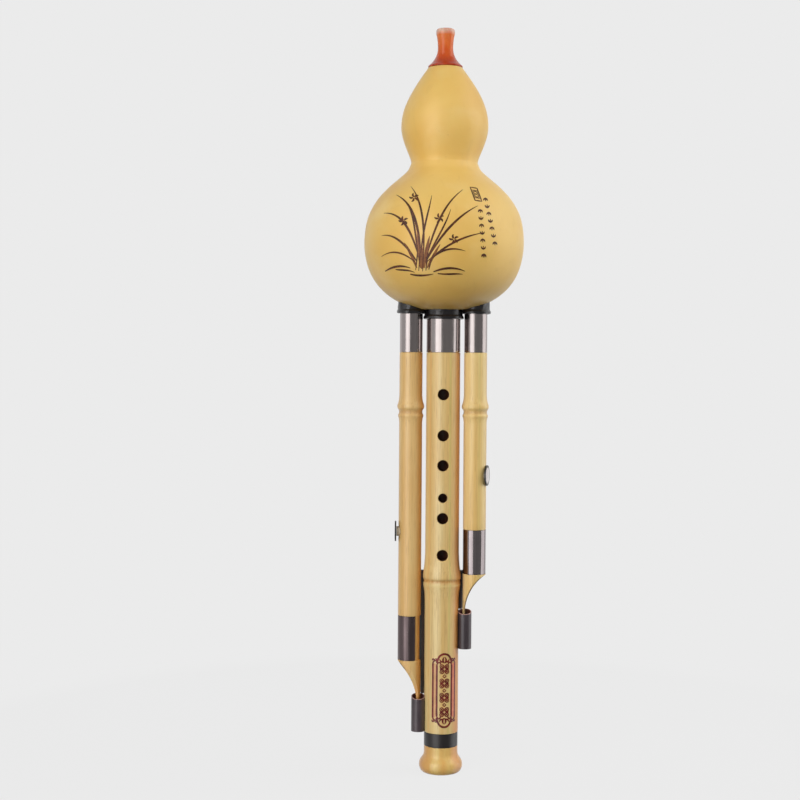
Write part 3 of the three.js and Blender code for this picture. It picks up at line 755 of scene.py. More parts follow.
right_bamboo = bamboo_finish(
    "right_bamboo",
    ((231, 204, 138), (222, 182, 106), (176, 130, 66)),
    RIGHT_CENTRE,
    DRONE_RADIUS,
    (1.7, 2.3),
    [(RIGHT_GROOVE, 1.6, 0.4, SCAR_AND_SHADE_BROWN)],
    [
        # a greenish fibre line, a warm tint on the right edge, and painted light on the left edge, which faces the
        # melody pipe
        (-72, 2, 7, 0.16, (196, 190, 100)),
        (-20, 5, 20, 0.3, (226, 176, 120)),
        (-165, 15, 50, 0.7, (242, 216, 156)),
    ],
    grain=0.5,
)
bell_bamboo = bamboo_finish(
    "bell_bamboo",
    ((226, 194, 116), (220, 170, 92), (184, 122, 58)),
    MAIN_CENTRE,
    MAIN_RADIUS,
    (1.6, 2.6),
    # painted shade on both edges
    side_tints_and_painted_edges=[(-15, 10, 50, 0.5, EDGE_SHADE_BROWN), (-165, 10, 50, 0.5, EDGE_SHADE_BROWN)],
    grain=0.3,
    roughness=0.3,
    gloss=0.4,
)

# %% [markdown]
# The gourd is a dried fruit with a scraped and oiled skin. It has no grain, only soft clouds
# of a deeper gold, some pale rubbed places and a very fine pitting.

# %% Gourd finish
gourd_skin = layered_finish(
    "gourd_skin",
    0.42,
    paint(235, 196, 110),
    [
        (paint(227, 181, 90), (22, 22, 26), 3, 0.35, 0.68, 1, 0.4),
        (paint(239, 209, 140), (55, 55, 70), 4, 0.52, 0.78, 0.5),
        (paint(196, 152, 82), (120, 120, 40), 5, 0.6, 0.8, 0.22, 1.5),
        (paint(188, 144, 78), 900, 2, 0.68, 0.8, 0.3),
    ],
    [((130, 130, 110), 3, 0.35 * MM, 0.35), (1800, 2, 0.02 * MM, 0.5)],
    Subsurface_Weight=0.08,
    Subsurface_Radius=(2.2 * MM, 1.1 * MM, 0.5 * MM),
    Subsurface_Scale=1,
    Specular_IOR_Level=0.5,
    Coat_Weight=0.1,
    Coat_Roughness=0.34,
)

# %% [markdown]
# The ferrules are drawn steel tube, polished until it mirrors the lamps. The drawing leaves
# faint lines along the tube, which break the reflections a little. The two switch rings are
# the same tube with a dark finish, one satin and one bright.

# %% Metal finishes
UNEVEN_GLOSS = 0.25  # how far the roughness strays from its middle, as a share of it


def tube_metal(name, light, dark, roughness):
    lines = ((2600, 2600, 14), 2)
    layers = [(paint(*dark), *lines, 0.35, 0.7, 1), (paint(*dark), 160, 4, 0.5, 0.75, 0.35)]
    bumps = [(*lines, 0.006 * MM, 0.4)]
    material = layered_finish(name, roughness, paint(*light), layers, bumps, 1.0)
    tree, surface, _ = opened(material)
    low, high = (grey(roughness * (1 + sign * UNEVEN_GLOSS)) for sign in (-1, 1))
    rough = ramp(tree, cloud(tree, (300, 300, 120), 4), (0.3, low), (0.7, high))
    tree.links.new(rough, surface.inputs["Roughness"])
    return material


mirror_steel = tube_metal("mirror_steel", (184, 175, 173), (168, 158, 156), 0.2)
dark_satin = tube_metal("dark_satin", (118, 104, 105), (94, 82, 82), 0.33)
dark_bright = tube_metal("dark_bright", (160, 151, 152), (138, 129, 130), 0.16)
reed_bronze = tube_metal("reed_bronze", (196, 150, 84), (160, 112, 56), 0.34)

# %% [markdown]
# The dark pieces are of four kinds: soft rubber with a wet shine round the ferrules, plain
# rubber on the tenons, polished horn over the bell and on the stoppers, and dull dark strips
# that are painted shade: they stand in for the shade seen in the gaps between the pipes.

# %% Black finishes
def black_finish(name, light, dark, roughness, wave_depth, gloss=0.0):
    layers = [(paint(*light), (160, 160, 120), 4, 0.35, 0.7, 1)]
    bumps = [((420, 420, 520), 3, wave_depth * MM, 0.6), (3800, 2, 0.01 * MM, 0.5)]
    values = {"Coat_Weight": gloss, "Coat_Roughness": 0.12}
    return layered_finish(name, roughness, paint(*dark), layers, bumps, **values)


wet_rubber = black_finish("wet_rubber", (24, 20, 23), (14, 12, 14), 0.3, 0.35, 0.4)
ring_rubber = black_finish("ring_rubber", (40, 37, 38), (28, 26, 28), 0.5, 0.03)
black_horn = black_finish("black_horn", (36, 32, 31), (24, 22, 22), 0.38, 0.03, 0.1)
# Dark strips of painted shade, for the shade seen between the pipes.
gap_shade_packing = black_finish("gap_shade_packing", (50, 36, 28), (30, 24, 20), 0.55, 0.05)

# %% [markdown]
# The mouthpiece is cast resin in imitation of red agate: orange in the neck and redder towards
# the flange. Its pale lip is a painted highlight, where the rounded edge catches the light.

# %% Resin, bone and pearl finishes
def resin_finish():
    material, tree, surface = finish("agate_resin", 0.16)
    colour = ramp(
        tree,
        height_share(tree, GOURD_TOP, LIP),
        (0.02, paint(170, 60, 28)),
        (0.22, paint(202, 86, 34)),
        (0.6, paint(218, 108, 44)),
        (0.93, paint(228, 126, 62)),
        # the pale top stop is a painted highlight on the lip
        (0.985, paint(222, 180, 158)),
    )
    veins = [(paint(196, 72, 28), (220, 220, 130), 5, 0.45, 0.8, 0.5, 1.2)]
    complete(
        tree,
        surface,
        layered(tree, colour, veins),
        [((300, 300, 240), 2, 0.06 * MM, 0.4)],
        Subsurface_Weight=0.35,
        Subsurface_Radius=(3 * MM, 1.2 * MM, 0.6 * MM),
        Subsurface_Scale=1,
        Specular_IOR_Level=0.25,
        Coat_Weight=0.3,
        Coat_Roughness=0.08,
    )
    return material


def pale_finish(name, light, dark, roughness, gloss=0.0):
    layers = [(paint(*dark), 260, 4, 0.35, 0.68, 1, 0.8)]
    bumps = [(1600, 2, 0.015 * MM, 0.5)]
    values = {"Coat_Weight": gloss, "Coat_Roughness": 0.1}
    return layered_finish(name, roughness, paint(*light), layers, bumps, **values)


agate_resin = resin_finish()
bone = pale_finish("bone", (236, 220, 192), (222, 200, 164), 0.45)
pearl = pale_finish("pearl", (226, 215, 212), (200, 182, 182), 0.18, 0.6)
print("finishes:", len(bpy.data.materials))

# %% [markdown]
# The plain turned pieces come first. Each is its outline from the model, spun in 96 steps.
# The stoppers lie on their sides, so their axis is the direction in which they pull out.

# %% Turned pieces
for side, turn in (("main", SLANTED), ("left", FRONT), ("right", FRONT)):
    turned(side + "_ferrule", mirror_steel, CENTRES[side], turn=turn, ease=0.1 * MM)
turned("bell_ring", black_horn, MAIN_CENTRE, turn=SLANTED, ease=0.15 * MM)
turned("bell", bell_bamboo, MAIN_CENTRE, turn=SLANTED, ease=0.3 * MM)


def slimmed(radius, height):
    """The mouthpiece is slimmer above its flange than the model, most of all under the lip."""
    neck = min(max((height - GOURD_TOP - 1.5 * MM) / (5 * MM), 0), 1)
    throat = max(0, 1 - abs(LIP - 4 * MM - height) / (3.5 * MM))
    return radius * (1 - 0.06 * neck - 0.07 * throat)


turned("mouthpiece", agate_resin, MAIN_CENTRE, ease=0.25 * MM, shaped=slimmed)
for side in SIDES:
    pull = Vector(joints[side + "_stopper_pull"]["axis"])
    low, high = spread(side + "_stopper_plug")
    middle = (low + high) / 2
    for part, material in (("cap", black_horn), ("plug", bone), ("inlay", pearl)):
        turned(f"{side}_stopper_{part}", material, middle, axis=pull, ease=0.15 * MM)
print("turned pieces made")

# %% [markdown]
# The two small tubes on the melody pipe are cut slanting, so that a drone's tongue slips in from
# the front. Each is spun with a level mouth and sheared. The strips that fill the gaps between
# the pipes above them have their shape from the model and only get eased edges. They are
# painted shade made solid: dark stand-ins for the shade seen through those gaps.

# %% Tail tubes and strips
MOUTH_SLOPE = tan(radians(16))
TUBE_WALL = 0.42 * MM
TUBE_AROUND = 64


def tube_horn(side, centre, radius, mouth):
    """Brown horn, with a painted highlight along the mouth's rim, and reddish inside."""
    material = black_finish(side + "_tube_horn", (76, 65, 69), (56, 48, 52), 0.36, 0.04, 0.15)
    tree, surface, colour = opened(material)
    height = vector_math(tree, "DOT_PRODUCT", coordinates(tree), (0, -MOUTH_SLOPE, 1))
    edge = mouth - centre.y * MOUTH_SLOPE
    # A painted highlight where the mouth's rim catches the light.
    rim = ranged(tree, height, edge - 0.35 * MM, edge - 0.15 * MM)
    colour = mixed(tree, rim, colour, paint(168, 130, 122))
    inside = depth_share(tree, centre, radius - 0.38 * MM, radius - 0.43 * MM)
    tree.links.new(mixed(tree, inside, colour, paint(84, 44, 40)), surface.inputs["Base Color"])
    return material


def tail_tube(side):
    """A tube whose level mouth is sheared to a slant."""
    low, high = spread(side + "_tail_tube")
    radius = (high.x - low.x) / 2
    mouth = high.z - radius * MOUTH_SLOPE
    inner = radius - TUBE_WALL
    corners = ((radius, low.z), (radius, mouth), (inner, mouth), (inner, low.z))
    bm = spun(rounded([Vector(p) for p in corners], True, 0.1 * MM), True, TUBE_AROUND)
    for vert in bm.verts:
        up = (vert.co.z - low.z) / (mouth - low.z)
        vert.co.z += vert.co.y * MOUTH_SLOPE * up
    middle = (low + high) / 2
    moved(bm, level(middle))
    horn = tube_horn(side, middle, radius, mouth)
    made(side + "_tail_tube_finish", bm, horn, side + "_tail_tube")


def strip(side):
    """The model's strip with eased edges, a dark stand-in for the shade in a gap between pipes."""
    bm = bmesh.new()
    bm.from_mesh(nodes[side + "_strip"].data)
    bmesh.ops.remove_doubles(bm, verts=bm.verts, dist=MERGE)
    made(side + "_gap_shade_strip_finish", eased(bm, 0.08 * MM), gap_shade_packing, side + "_strip")


for side in SIDES:
    tail_tube(side)
    strip(side)

# %% [markdown]
# The reeds work out of sight, inside the gourd, but they show when the pipes are pulled out.
# Their plugs and rubber rings are turned too. The bronze plates and the reed tubes stay as the
# model has them and only get their finish.

# %% Reeds and rubber rings
for side, centre in CENTRES.items():
    turned(side + "_reed_plug", bone, centre, turn=BACK, ease=0.2 * MM)
    for ring in ("1", "2"):
        turned(f"{side}_tenon_ring_{ring}", ring_rubber, centre, turn=BACK, ease=0.05 * MM)
    for node, material in ((side + "_reed", reed_bronze), (side + "_reed_tube", bone)):
        nodes[node].data.materials.clear()
        nodes[node].data.materials.append(material)

# %% [markdown]
# The gourd is spun from its outline as well. No gourd is quite round, so its skin is pushed
# in and out by a fraction of a millimetre with a slow noise, which dies away at the two ends
# where other pieces fit. Then two holes are cut for the drones' ferrules.

# %% Gourd
UNEVEN = 0.5 * MM
UNEVEN_SIZE = 26 * MM
END_FADE = 14 * MM
FIT = 0.1 * MM
GOURD_AROUND = 144
GOURD_GRAIN = 1.6 * MM


def unevenness(point):
    """How far the skin stands out at a point, in metres."""
    ends = min(point.z - GOURD_BASE, GOURD_TOP - point.z) / END_FADE
    return UNEVEN * noise.noise(point / UNEVEN_SIZE) * min(max(ends, 0), 1)


def uneven(bm):
    """Moves a gourd's round skin in and out."""
    for vert in bm.verts:
        vert.co += level(vert.co).normalized() * unevenness(vert.co)
    return bm


def straight_hole(radius, low, high, centre):
    """A cylinder along Z to cut with."""
    bm = bmesh.new()
    bmesh.ops.create_cone(
        bm, cap_ends=True, segments=AROUND, radius1=radius, radius2=radius, depth=high - low
    )
    moved(bm, (centre.x, centre.y, (low + high) / 2))
    return solid(bm)


gourd_outline = outline_of("gourd", placement(MAIN_CENTRE, turn=BACK))[0]
if gourd_outline[1][0] < gourd_outline[-1][0]:
    gourd_outline = gourd_outline[:1] + gourd_outline[:0:-1]
gourd_rim = max(range(len(gourd_outline)), key=lambda i: gourd_outline[i][1])
skin = smoothed(gourd_outline[: gourd_rim + 1], False)

gourd_points = divided(rounded(smoothed(gourd_outline, True), True, 0.25 * MM), True, GOURD_GRAIN)
drone_holes = [
    straight_hole(DRONE_RADIUS + FIT, GOURD_BASE - 5 * MM, GOURD_BASE + 20 * MM, centre)
    for centre in (LEFT_CENTRE, RIGHT_CENTRE)
]
gourd_mesh = cut(solid(uneven(spun(gourd_points, True, GOURD_AROUND))), drone_holes)
gourd = dressed("gourd_finish", gourd_mesh, gourd_skin, "gourd")
print("gourd faces:", len(gourd.data.polygons))

# %% [markdown]
# A rubber collar seals each ferrule against the gourd. It was pressed on soft, so its lip is
# wavy and its top follows the gourd's skin. It is spun a little too tall and made wavy, and
# then the gourd is taken out of it. The middle collar is taken out of the other two as well.

# %% Rubber collars
COLLAR_WALL = 1.1 * MM
COLLAR_LIP = 0.45 * MM
LIP_HEIGHT = 2.3 * MM
COLLAR_TALL = 12 * MM
COLLAR_GRAIN = 0.6 * MM
WAVE = 0.3 * MM
WAVE_SIZE = 3 * MM
ROOM = 0.3 * MM
ROOM_REACH = 10 * MM
STIFF = 0.2 * MM  # the rubber next to the ferrule isn't wavy


def gourd_core():
    """The gourd up to its widest place, without its hollow."""
    widest = max(range(len(skin)), key=lambda i: skin[i][0])
    points = [(0, GOURD_BASE), *skin[: widest + 1], (0, skin[widest][1])]
    return solid(uneven(spun(divided(points, False, GOURD_GRAIN), False, GOURD_AROUND)))


def collar(side, radius, room=()):
    """A collar round a ferrule, cut to the gourd's skin and to make room."""
    centre = CENTRES[side]
    low = spread(side + "_collar")[0].z
    wall = radius + COLLAR_WALL
    lip = wall + COLLAR_LIP
    outline = [
        (radius, low + 0.5 * MM),
        (lip - 0.7 * MM, low + 0.05 * MM),
        (lip - 0.15 * MM, low + 0.25 * MM),
        (lip, low + 0.85 * MM),
        (lip - 0.1 * MM, low + 1.5 * MM),
        (wall, low + LIP_HEIGHT),
        (wall, low + COLLAR_TALL),
        (radius, low + COLLAR_TALL),
    ]
    bm = spun(divided(smoothed(outline, True), True, COLLAR_GRAIN), True)
    for vert in bm.verts:
        outward = level(vert.co)
        if outward.length > radius + STIFF:
            place = vert.co + centre * 3
            vert.co += outward.normalized() * noise.noise(place / WAVE_SIZE) * WAVE
            vert.co.z += noise.noise(place / (2 * WAVE_SIZE)) * WAVE
    moved(bm, centre)
    mesh = cut(solid(bm), [gourd_core(), *room])
    dressed(side + "_collar_finish", mesh, wet_rubber, side + "_collar")


collar("main", MAIN_RADIUS)
for side in SIDES:
    ends = (GOURD_BASE - ROOM_REACH, GOURD_BASE + ROOM_REACH)
    room = straight_hole(MAIN_RADIUS + COLLAR_WALL + ROOM, *ends, MAIN_CENTRE)
    collar(side, DRONE_RADIUS, [room])
print("collars made")

# %% [markdown]
# A bamboo pipe is spun from the model's outline too, but its node gets a finer shape: a broad
# ridge, a groove where the leaf sheath was, and a sharper lip under it. On a real stem
# these never run quite level, so they are pushed up and down round the pipe by a slow noise.

# %% Bamboo nodes
# each pair is a height over the groove in mm and a swell as a share of a millimetre
MAIN_NODE = (
    *((-9, 0.04), (-6, 0.22), (-3.6, 0.56), (-2.2, 0.78), (-1.4, 0.8), (-0.85, 0.73), (-0.4, 0.58)),
    *((0, 0.5), (0.5, 0.56), (1, 0.8), (1.6, 0.98), (2.6, 1.0), (4.6, 0.8), (8, 0.32), (13, 0.04)),
)
DRONE_NODE = (
    *((-5, 0.03), (-3.4, 0.2), (-2.4, 0.48), (-1.7, 0.6), (-1.2, 0.46), (-0.7, 0.22), (0, 0.1)),
    *((0.7, 0.17), (1.3, 0.46), (2, 0.86), (2.8, 1), (3.6, 0.9), (4.8, 0.5), (6.2, 0.2), (8, 0.03)),
)
NODE_WANDER = 0.45 * MM
NODE_REACH = 9 * MM
DENT = 0.06 * MM
DENT_SIZE = 9 * MM
HAIR = 0.05 * MM  # a little way clear of an edge


def with_node(points, radius, groove, node_shape):
    """The outline with the coarse node taken out and the fine one put in."""
    swollen = [i for i, (r, z) in enumerate(points) if r > radius + SWOLLEN]
    first, last = swollen[0], swollen[-1]
    shape = [(radius + swell * MM, groove + rise * MM) for rise, swell in node_shape]
    if points[last][1] < points[first][1]:
        shape.reverse()
    return [*points[:first], *shape, *points[last + 1 :]]


def grown(bm, radius, groove, scale, seed):
    """Makes a spun pipe a little uneven, and its node a little slanted."""
    shift = Vector((seed, seed, seed))
    for vert in bm.verts:
        outward = level(vert.co)
        if outward.length < radius - 0.3 * MM or vert.co.z > SHOULDER - HAIR:
            continue
        near = max(0, 1 - abs(vert.co.z - groove) / (NODE_REACH * scale))
        wander = noise.noise(outward / DENT_SIZE + shift)
        vert.co.z += wander * NODE_WANDER * near * scale
        stretched = Vector((vert.co.x, vert.co.y, vert.co.z / 5))
        vert.co += outward.normalized() * noise.noise(stretched / DENT_SIZE + shift) * DENT
    return bm


# %% [markdown]
# Each finger hole is burnt or drilled through and its edge is broken a little. The cutter is a
# spun plug with a flared top. The pipe is round, so the edge of the hole lies lower at its left
# and right than above and below: the plug is bent down in the same way before it cuts.

# %% Holes in the pipes
RIM = 0.35 * MM
HOLE_AROUND = 48


def hole(radius, turn, height, pipe_radius, wall, centre=MAIN_CENTRE):
    """A cutter for a hole at a turn round the pipe from +X, whose rim follows the pipe."""
    outline = [
        (0, 2 * MM),
        (radius + RIM + 1 * MM, 2 * MM),
        (radius + RIM, 0.03 * MM),
        (radius + RIM * 0.4, -0.12 * MM),
        (radius + RIM * 0.1, -0.3 * MM),
        (radius, -0.6 * MM),
        (radius, -wall - 1 * MM),
        (0, -wall - 1 * MM),
    ]
    bm = spun(outline, False, HOLE_AROUND)
    for vert in bm.verts:
        across = min(abs(vert.co.x), pipe_radius * 0.9)
        vert.co.z -= pipe_radius - sqrt(pipe_radius**2 - across**2)
    place = (
        Matrix.Translation(centre + Vector((0, 0, height)))
        @ Matrix.Rotation(turn, 4, "Z")
        @ Matrix.Translation((pipe_radius, 0, 0))
        @ Matrix.Rotation(pi / 2, 4, "Y")
        @ Matrix.Rotation(pi / 2, 4, "Z")
    )
    bmesh.ops.transform(bm, matrix=place, verts=bm.verts)
    return solid(bm)


# %% [markdown]
# The melody pipe has six finger holes in front and, behind, a thumb hole, a vent and two small
# holes for a cord. Their places are shares of its length down from the ferrule, as on the model.

# %% Melody pipe
MAIN_LENGTH = SHOULDER - PIPE_FOOT
FINGER_RADIUS = 2.75 * MM
SMALL_RADIUS = 2.25 * MM
CORD_RADIUS = 1.4 * MM
MAIN_WALL = 3.3 * MM
PIPE_GRAIN = 4 * MM
MAIN_SEED = 3.7
CORD_TURN = pi / 7
MAIN_HOLES = (
    *((FINGER_RADIUS, FRONT, share) for share in (0.111, 0.2185, 0.297, 0.4355, 0.532)),
    (SMALL_RADIUS, FRONT, 0.382),
    (FINGER_RADIUS, BACK, 0.047),
    (FINGER_RADIUS, BACK, 0.665),
    (CORD_RADIUS, BACK - CORD_TURN, 0.745),
    (CORD_RADIUS, BACK + CORD_TURN, 0.745),
)


def flute(side):
    """The hollow in the melody pipe's side in which a tail tube lies."""
    low, high = spread(side + "_tail_tube")
    radius = (high.x - low.x) / 2 + FIT
    return straight_hole(radius, low.z - FIT, high.z + FIT, (low + high) / 2)


main_points = outline_of("main_pipe", main_place)[0]
main_points = with_node(main_points, MAIN_RADIUS, MAIN_GROOVE, MAIN_NODE)
main_points = divided(rounded(smoothed(main_points, True), True, 0.12 * MM), True, PIPE_GRAIN)
main_bm = grown(spun(main_points, True), MAIN_RADIUS, MAIN_GROOVE, 1, MAIN_SEED)
cutters = [
    hole(radius, turn, SHOULDER - share * MAIN_LENGTH, MAIN_RADIUS, MAIN_WALL)
    for radius, turn, share in MAIN_HOLES
]
main_mesh = cut(solid(main_bm), [*cutters, flute("left"), flute("right")])
dressed("main_pipe_finish", main_mesh, main_bamboo, "main_pipe")
print("melody pipe faces:", len(main_mesh.polygons))

# %% [markdown]
# Each drone ends in a tongue: a long scoop opens the pipe's outer side, two hollow cuts narrow
# it from front and back, and a slope thins its tip, which stands in a small tube on the melody
# pipe. The cutters are flat shapes pulled out into slabs, and most of them have a curved edge.

# %% Cut tails
TAIL = 26 * MM
PAST = 2 * MM
SLANT = radians(3)
TIP_THICKNESS = 1.15 * MM
TIP_WIDTH = 1.8 * MM
INNER_START = 0.54
INNER_TAPER = 0.5 * MM
SCOOPS = {
    "left": ((1, 0), (0.5, 0.13), (-0.55, 0.36), (-0.7, 0.85)),
    "right": ((1, 0), (0.55, 0.03), (-0.6, 0.26), (-0.76, 0.65)),
}
SCOOP_TURNS = {"left": pi + SLANT, "right": -SLANT}
FLANK = ((1, 0), (0.94, 0.27), (0.38, 0.385), (0.28, 0.69))
CURVE_STEPS = 24


def slab_cutter(outline, turn, centre, top):
    """A flat outline of (outward, down) points, as a slab across the pipe, turned about it."""
    reach = DRONE_RADIUS + PAST
    bm = bmesh.new()
    verts = [bm.verts.new((x, -reach, -down)) for x, down in outline]
    face = bm.faces.new(verts)
    pulled = verts_of(bmesh.ops.extrude_face_region(bm, geom=[face])["geom"])
    bmesh.ops.translate(bm, verts=pulled, vec=(0, 2 * reach, 0))
    place = Matrix.Translation((centre.x, centre.y, top)) @ Matrix.Rotation(turn, 4, "Z")
    bmesh.ops.transform(bm, matrix=place, verts=bm.verts)
    return solid(bm)


def curved_edge(handles):
    """Points (outward, down) along a curve of four handles, which are shares."""
    points = [Vector((x * DRONE_RADIUS, down * TAIL, 0)) for x, down in handles]
    return [(p.x, p.y) for p in interpolate_bezier(*points, CURVE_STEPS)]


def tail_cutters(side, outward, centre, top):
    """Outward is the turn, from +X, of the drone's side away from its tube."""
    far, end = DRONE_RADIUS + PAST, TAIL + PAST
    scoop = [
        *curved_edge(SCOOPS[side]),
        (-DRONE_RADIUS + TIP_THICKNESS + INNER_TAPER, end),
        (far, end),
        (far, 0),
    ]
    flank = [*curved_edge(FLANK), (TIP_WIDTH / 2, end), (far, end), (far, 0)]
    inner = [
        (-DRONE_RADIUS, INNER_START * TAIL),
        (-far, INNER_START * TAIL),
        (-far, end),
        (-DRONE_RADIUS + INNER_TAPER, end),
    ]
    quarter = pi / 2
    return [
        slab_cutter(scoop, SCOOP_TURNS[side], centre, top),
        slab_cutter(flank, outward + quarter, centre, top),
        slab_cutter(flank, outward - quarter, centre, top),
        slab_cutter(inner, outward, centre, top),
    ]


# %% [markdown]
# The scoop's edge gets a dark line of painted shade, for the shadow of the cut wall seen at the
# edge. The finish gets it from the same curve as the cutter: the curve tells where the edge is at
# each height, and the bamboo is dark where it lies just inside that.

# %% Painted shade along the scoop edges
SCOOP_SHADE_WIDE = 0.95 * MM
SCOOP_SHADE_FADE = 1.5 * MM
SCOOP_SHADE_STRENGTH = 0.95


def scoop_edge_shade(material, side, centre, top):
    """Darkens the bamboo just inside the edge of a drone's scoop with painted shade."""
    tree, surface, below = opened(material)
    edge = curved_edge(SCOOPS[side])
    deepest = edge[-1][1]
    sockets = {"Value": over_foot(tree), "From Min": top, "From Max": top - deepest}
    curve = added(tree, "FloatCurve", {"Value": added(tree, "MapRange", sockets).outputs["Result"]})
    line = curve.mapping.curves[0]
    chosen = edge[:: CURVE_STEPS // 6] + [edge[-1]]
    while len(line.points) < len(chosen):
        line.points.new(0.5, 0.5)
    for point, (x, z) in zip(line.points, chosen):
        point.location = (z / deepest, x / DRONE_RADIUS / 2 + 0.5)
        point.handle_type = "AUTO_CLAMPED"
    curve.mapping.update()
    edge_at = combined(tree, "SUBTRACT", curve.outputs["Value"], 0.5)
    edge_at = combined(tree, "MULTIPLY", edge_at, 2 * DRONE_RADIUS)
    outward = (cos(SCOOP_TURNS[side]), sin(SCOOP_TURNS[side]), 0)
    facing = vector_math(tree, "DOT_PRODUCT", from_axis(tree, centre), outward)
    dark = ranged(tree, combined(tree, "SUBTRACT", edge_at, facing), SCOOP_SHADE_WIDE, 0)
    for share in (
        height_share(tree, top, top - SCOOP_SHADE_FADE),
        depth_share(tree, centre, DRONE_RADIUS - 0.7 * MM, DRONE_RADIUS - 0.3 * MM),
        SCOOP_SHADE_STRENGTH,
    ):
        dark = combined(tree, "MULTIPLY", dark, share)
    # Painted shade along the scoop's edge.
    tree.links.new(mixed(tree, dark, below, paint(58, 32, 22)), surface.inputs["Base Color"])


# %% [markdown]
# With the cutters ready, a drone is the spun pipe, lengthened down to its tip, minus its tail
# cuts, minus the hole for its stopper and the vent under its switch ring.

# %% Drones
DRONE_NODE_SCALE = 0.58
DRONE_WALL = 2.35 * MM
LEDGE = 0.4 * MM
STOPPER_HOLE = 2.7 * MM
VENT = 2.1 * MM


def drone(side, material, groove, seed):
    centre = CENTRES[side]
    low, high = spread(side + "_shutter")
    cut_top = low.z - LEDGE
    points = outline_of(side + "_drone", placement(centre, turn=FRONT))[0]
    kept = [p for p in points if p[1] > cut_top + HAIR]
    bore = min(r for r, z in kept)
    tip = cut_top - TAIL
    ends = [(DRONE_RADIUS, tip), (bore, tip)]
    if kept[0][0] < kept[-1][0]:
        ends.reverse()
    points = [ends[0], *kept, ends[1]]
    points = with_node(points, DRONE_RADIUS, groove, DRONE_NODE)
    points = divided(rounded(smoothed(points, True), True, 0.1 * MM), True, PIPE_GRAIN)
    bm = grown(spun(points, True), DRONE_RADIUS, groove, DRONE_NODE_SCALE, seed)
    moved(bm, centre)
    tube_low, tube_high = spread(side + "_tail_tube")
    tube = (tube_low + tube_high) / 2
    outward = atan2(centre.y - tube.y, centre.x - tube.x)
    pull = Vector(joints[side + "_stopper_pull"]["axis"])
    plug = sum(spread(side + "_stopper_plug"), Vector()) / 2
    groove_radius = min(r for r, z in kept if low.z < z < high.z + LEDGE and r > bore + 1 * MM)
    cutters = [
        *tail_cutters(side, outward, centre, cut_top),
        hole(STOPPER_HOLE, atan2(pull.y, pull.x), plug.z, DRONE_RADIUS, DRONE_WALL, centre),
        hole(VENT, BACK, (low.z + high.z) / 2, groove_radius, DRONE_WALL, centre),
    ]
    mesh = cut(solid(bm), cutters)
    scoop_edge_shade(material, side, centre, cut_top)
    print(side, "drone faces:", len(mesh.polygons), "tail turned", round(degrees(outward), 1))
    dressed(side + "_drone_finish", mesh, material, side + "_drone")


drone("left", left_bamboo, LEFT_GROOVE, 11.3)
drone("right", right_bamboo, RIGHT_GROOVE, 23.9)

# %% [markdown]
# A switch ring is a strip of springy sheet rolled round the drone. It is spun through less
# than a full turn, so its two ends have to be closed with a face each. Turning it brings its
# gap over the vent, which lets the drone sound.

# %% Switch rings
RING_THICK = 0.42 * MM
RING_AROUND = 80


def switch_ring(side, material, middle, gap):
    """Middle is the turn of the gap's centre from +X, in degrees like the gap."""
    low, high = spread(side + "_shutter")
    radius, inner = DRONE_RADIUS, DRONE_RADIUS - RING_THICK
    outline = [(radius, low.z), (radius, high.z), (inner, high.z), (inner, low.z)]
    bm = bmesh.new()
    verts = [bm.verts.new((r, 0, z)) for r, z in outline]
    face = bm.faces.new(verts)
    start = Matrix.Rotation(radians(middle + gap / 2), 3, "Z")
    bmesh.ops.rotate(bm, verts=verts, matrix=start)
    geom, angle = [face, *face.edges, *verts], radians(360 - gap)
    bmesh.ops.spin(bm, geom=geom, axis=(0, 0, 1), angle=angle, steps=RING_AROUND)
    bmesh.ops.recalc_face_normals(bm, faces=bm.faces)
    eased(bm, 0.12 * MM)
    moved(bm, CENTRES[side])
    made(side + "_shutter_finish", bm, material, side + "_shutter")


switch_ring("left", dark_satin, 345.5, 88)
switch_ring("right", dark_bright, 90, 64)
print("switch rings made")

# %% [markdown]
# The gourd carries a burnt drawing and the melody pipe a stamped panel. Both are laid on as
# real strokes a few hundredths of a millimetre proud. A stroke starts as one short edge, which
# is pulled along a curve and widened and narrowed on the way, and it gets its thickness last.

# %% Strokes on a surface
STROKE_LIFT = 0.04 * MM
STROKE_DEPTH = 0.15 * MM


def stroke(bm, points, widths, place):
    """Pulls an edge along flat points. Place turns a flat point into one on the surface."""
    edge, last = None, len(points) - 1
    for k, point in enumerate(points):
        along = (points[min(k + 1, last)] - points[max(k - 1, 0)]).normalized()
        side = Vector((-along.y, along.x)) * widths[k] / 2
        ends = [place(point + side), place(point - side)]
        if edge is None:
            pair = [bm.verts.new(p) for p in ends]
            edge = bm.edges.new(pair)
            continue
        fresh = verts_of(bmesh.ops.extrude_edge_only(bm, edges=[edge])["geom"])
        fresh.sort(key=lambda v: (v.co - pair[0].co).length)
        for vert, end in zip(fresh, ends):
            vert.co = end
        pair = fresh
        edge = next(e for e in pair[0].link_edges if pair[1] in e.verts)


def brush(share):
    """A brush stroke's width along its length: pointed at both ends, fullest before the middle."""
    return max(0.12, sin(pi * min(1, share * 0.85 + 0.12)) ** 0.8)


def brushed(bm, handles, width, place, steps=24):
    """A tapering stroke along a curve of four handles, in millimetres."""
    curve = interpolate_bezier(*(Vector((x, z, 0)) * MM for x, z in handles), steps + 1)
    widths = [width * MM * brush(k / steps) for k in range(steps + 1)]
    stroke(bm, [p.to_2d() for p in curve], widths, place)


def lined(bm, points, width, place, longest=1.2):
    """An even line through points, in millimetres."""
    flat = divided([Vector(p) * MM for p in points], False, longest * MM)
    stroke(bm, flat, [width * MM] * len(flat), place)


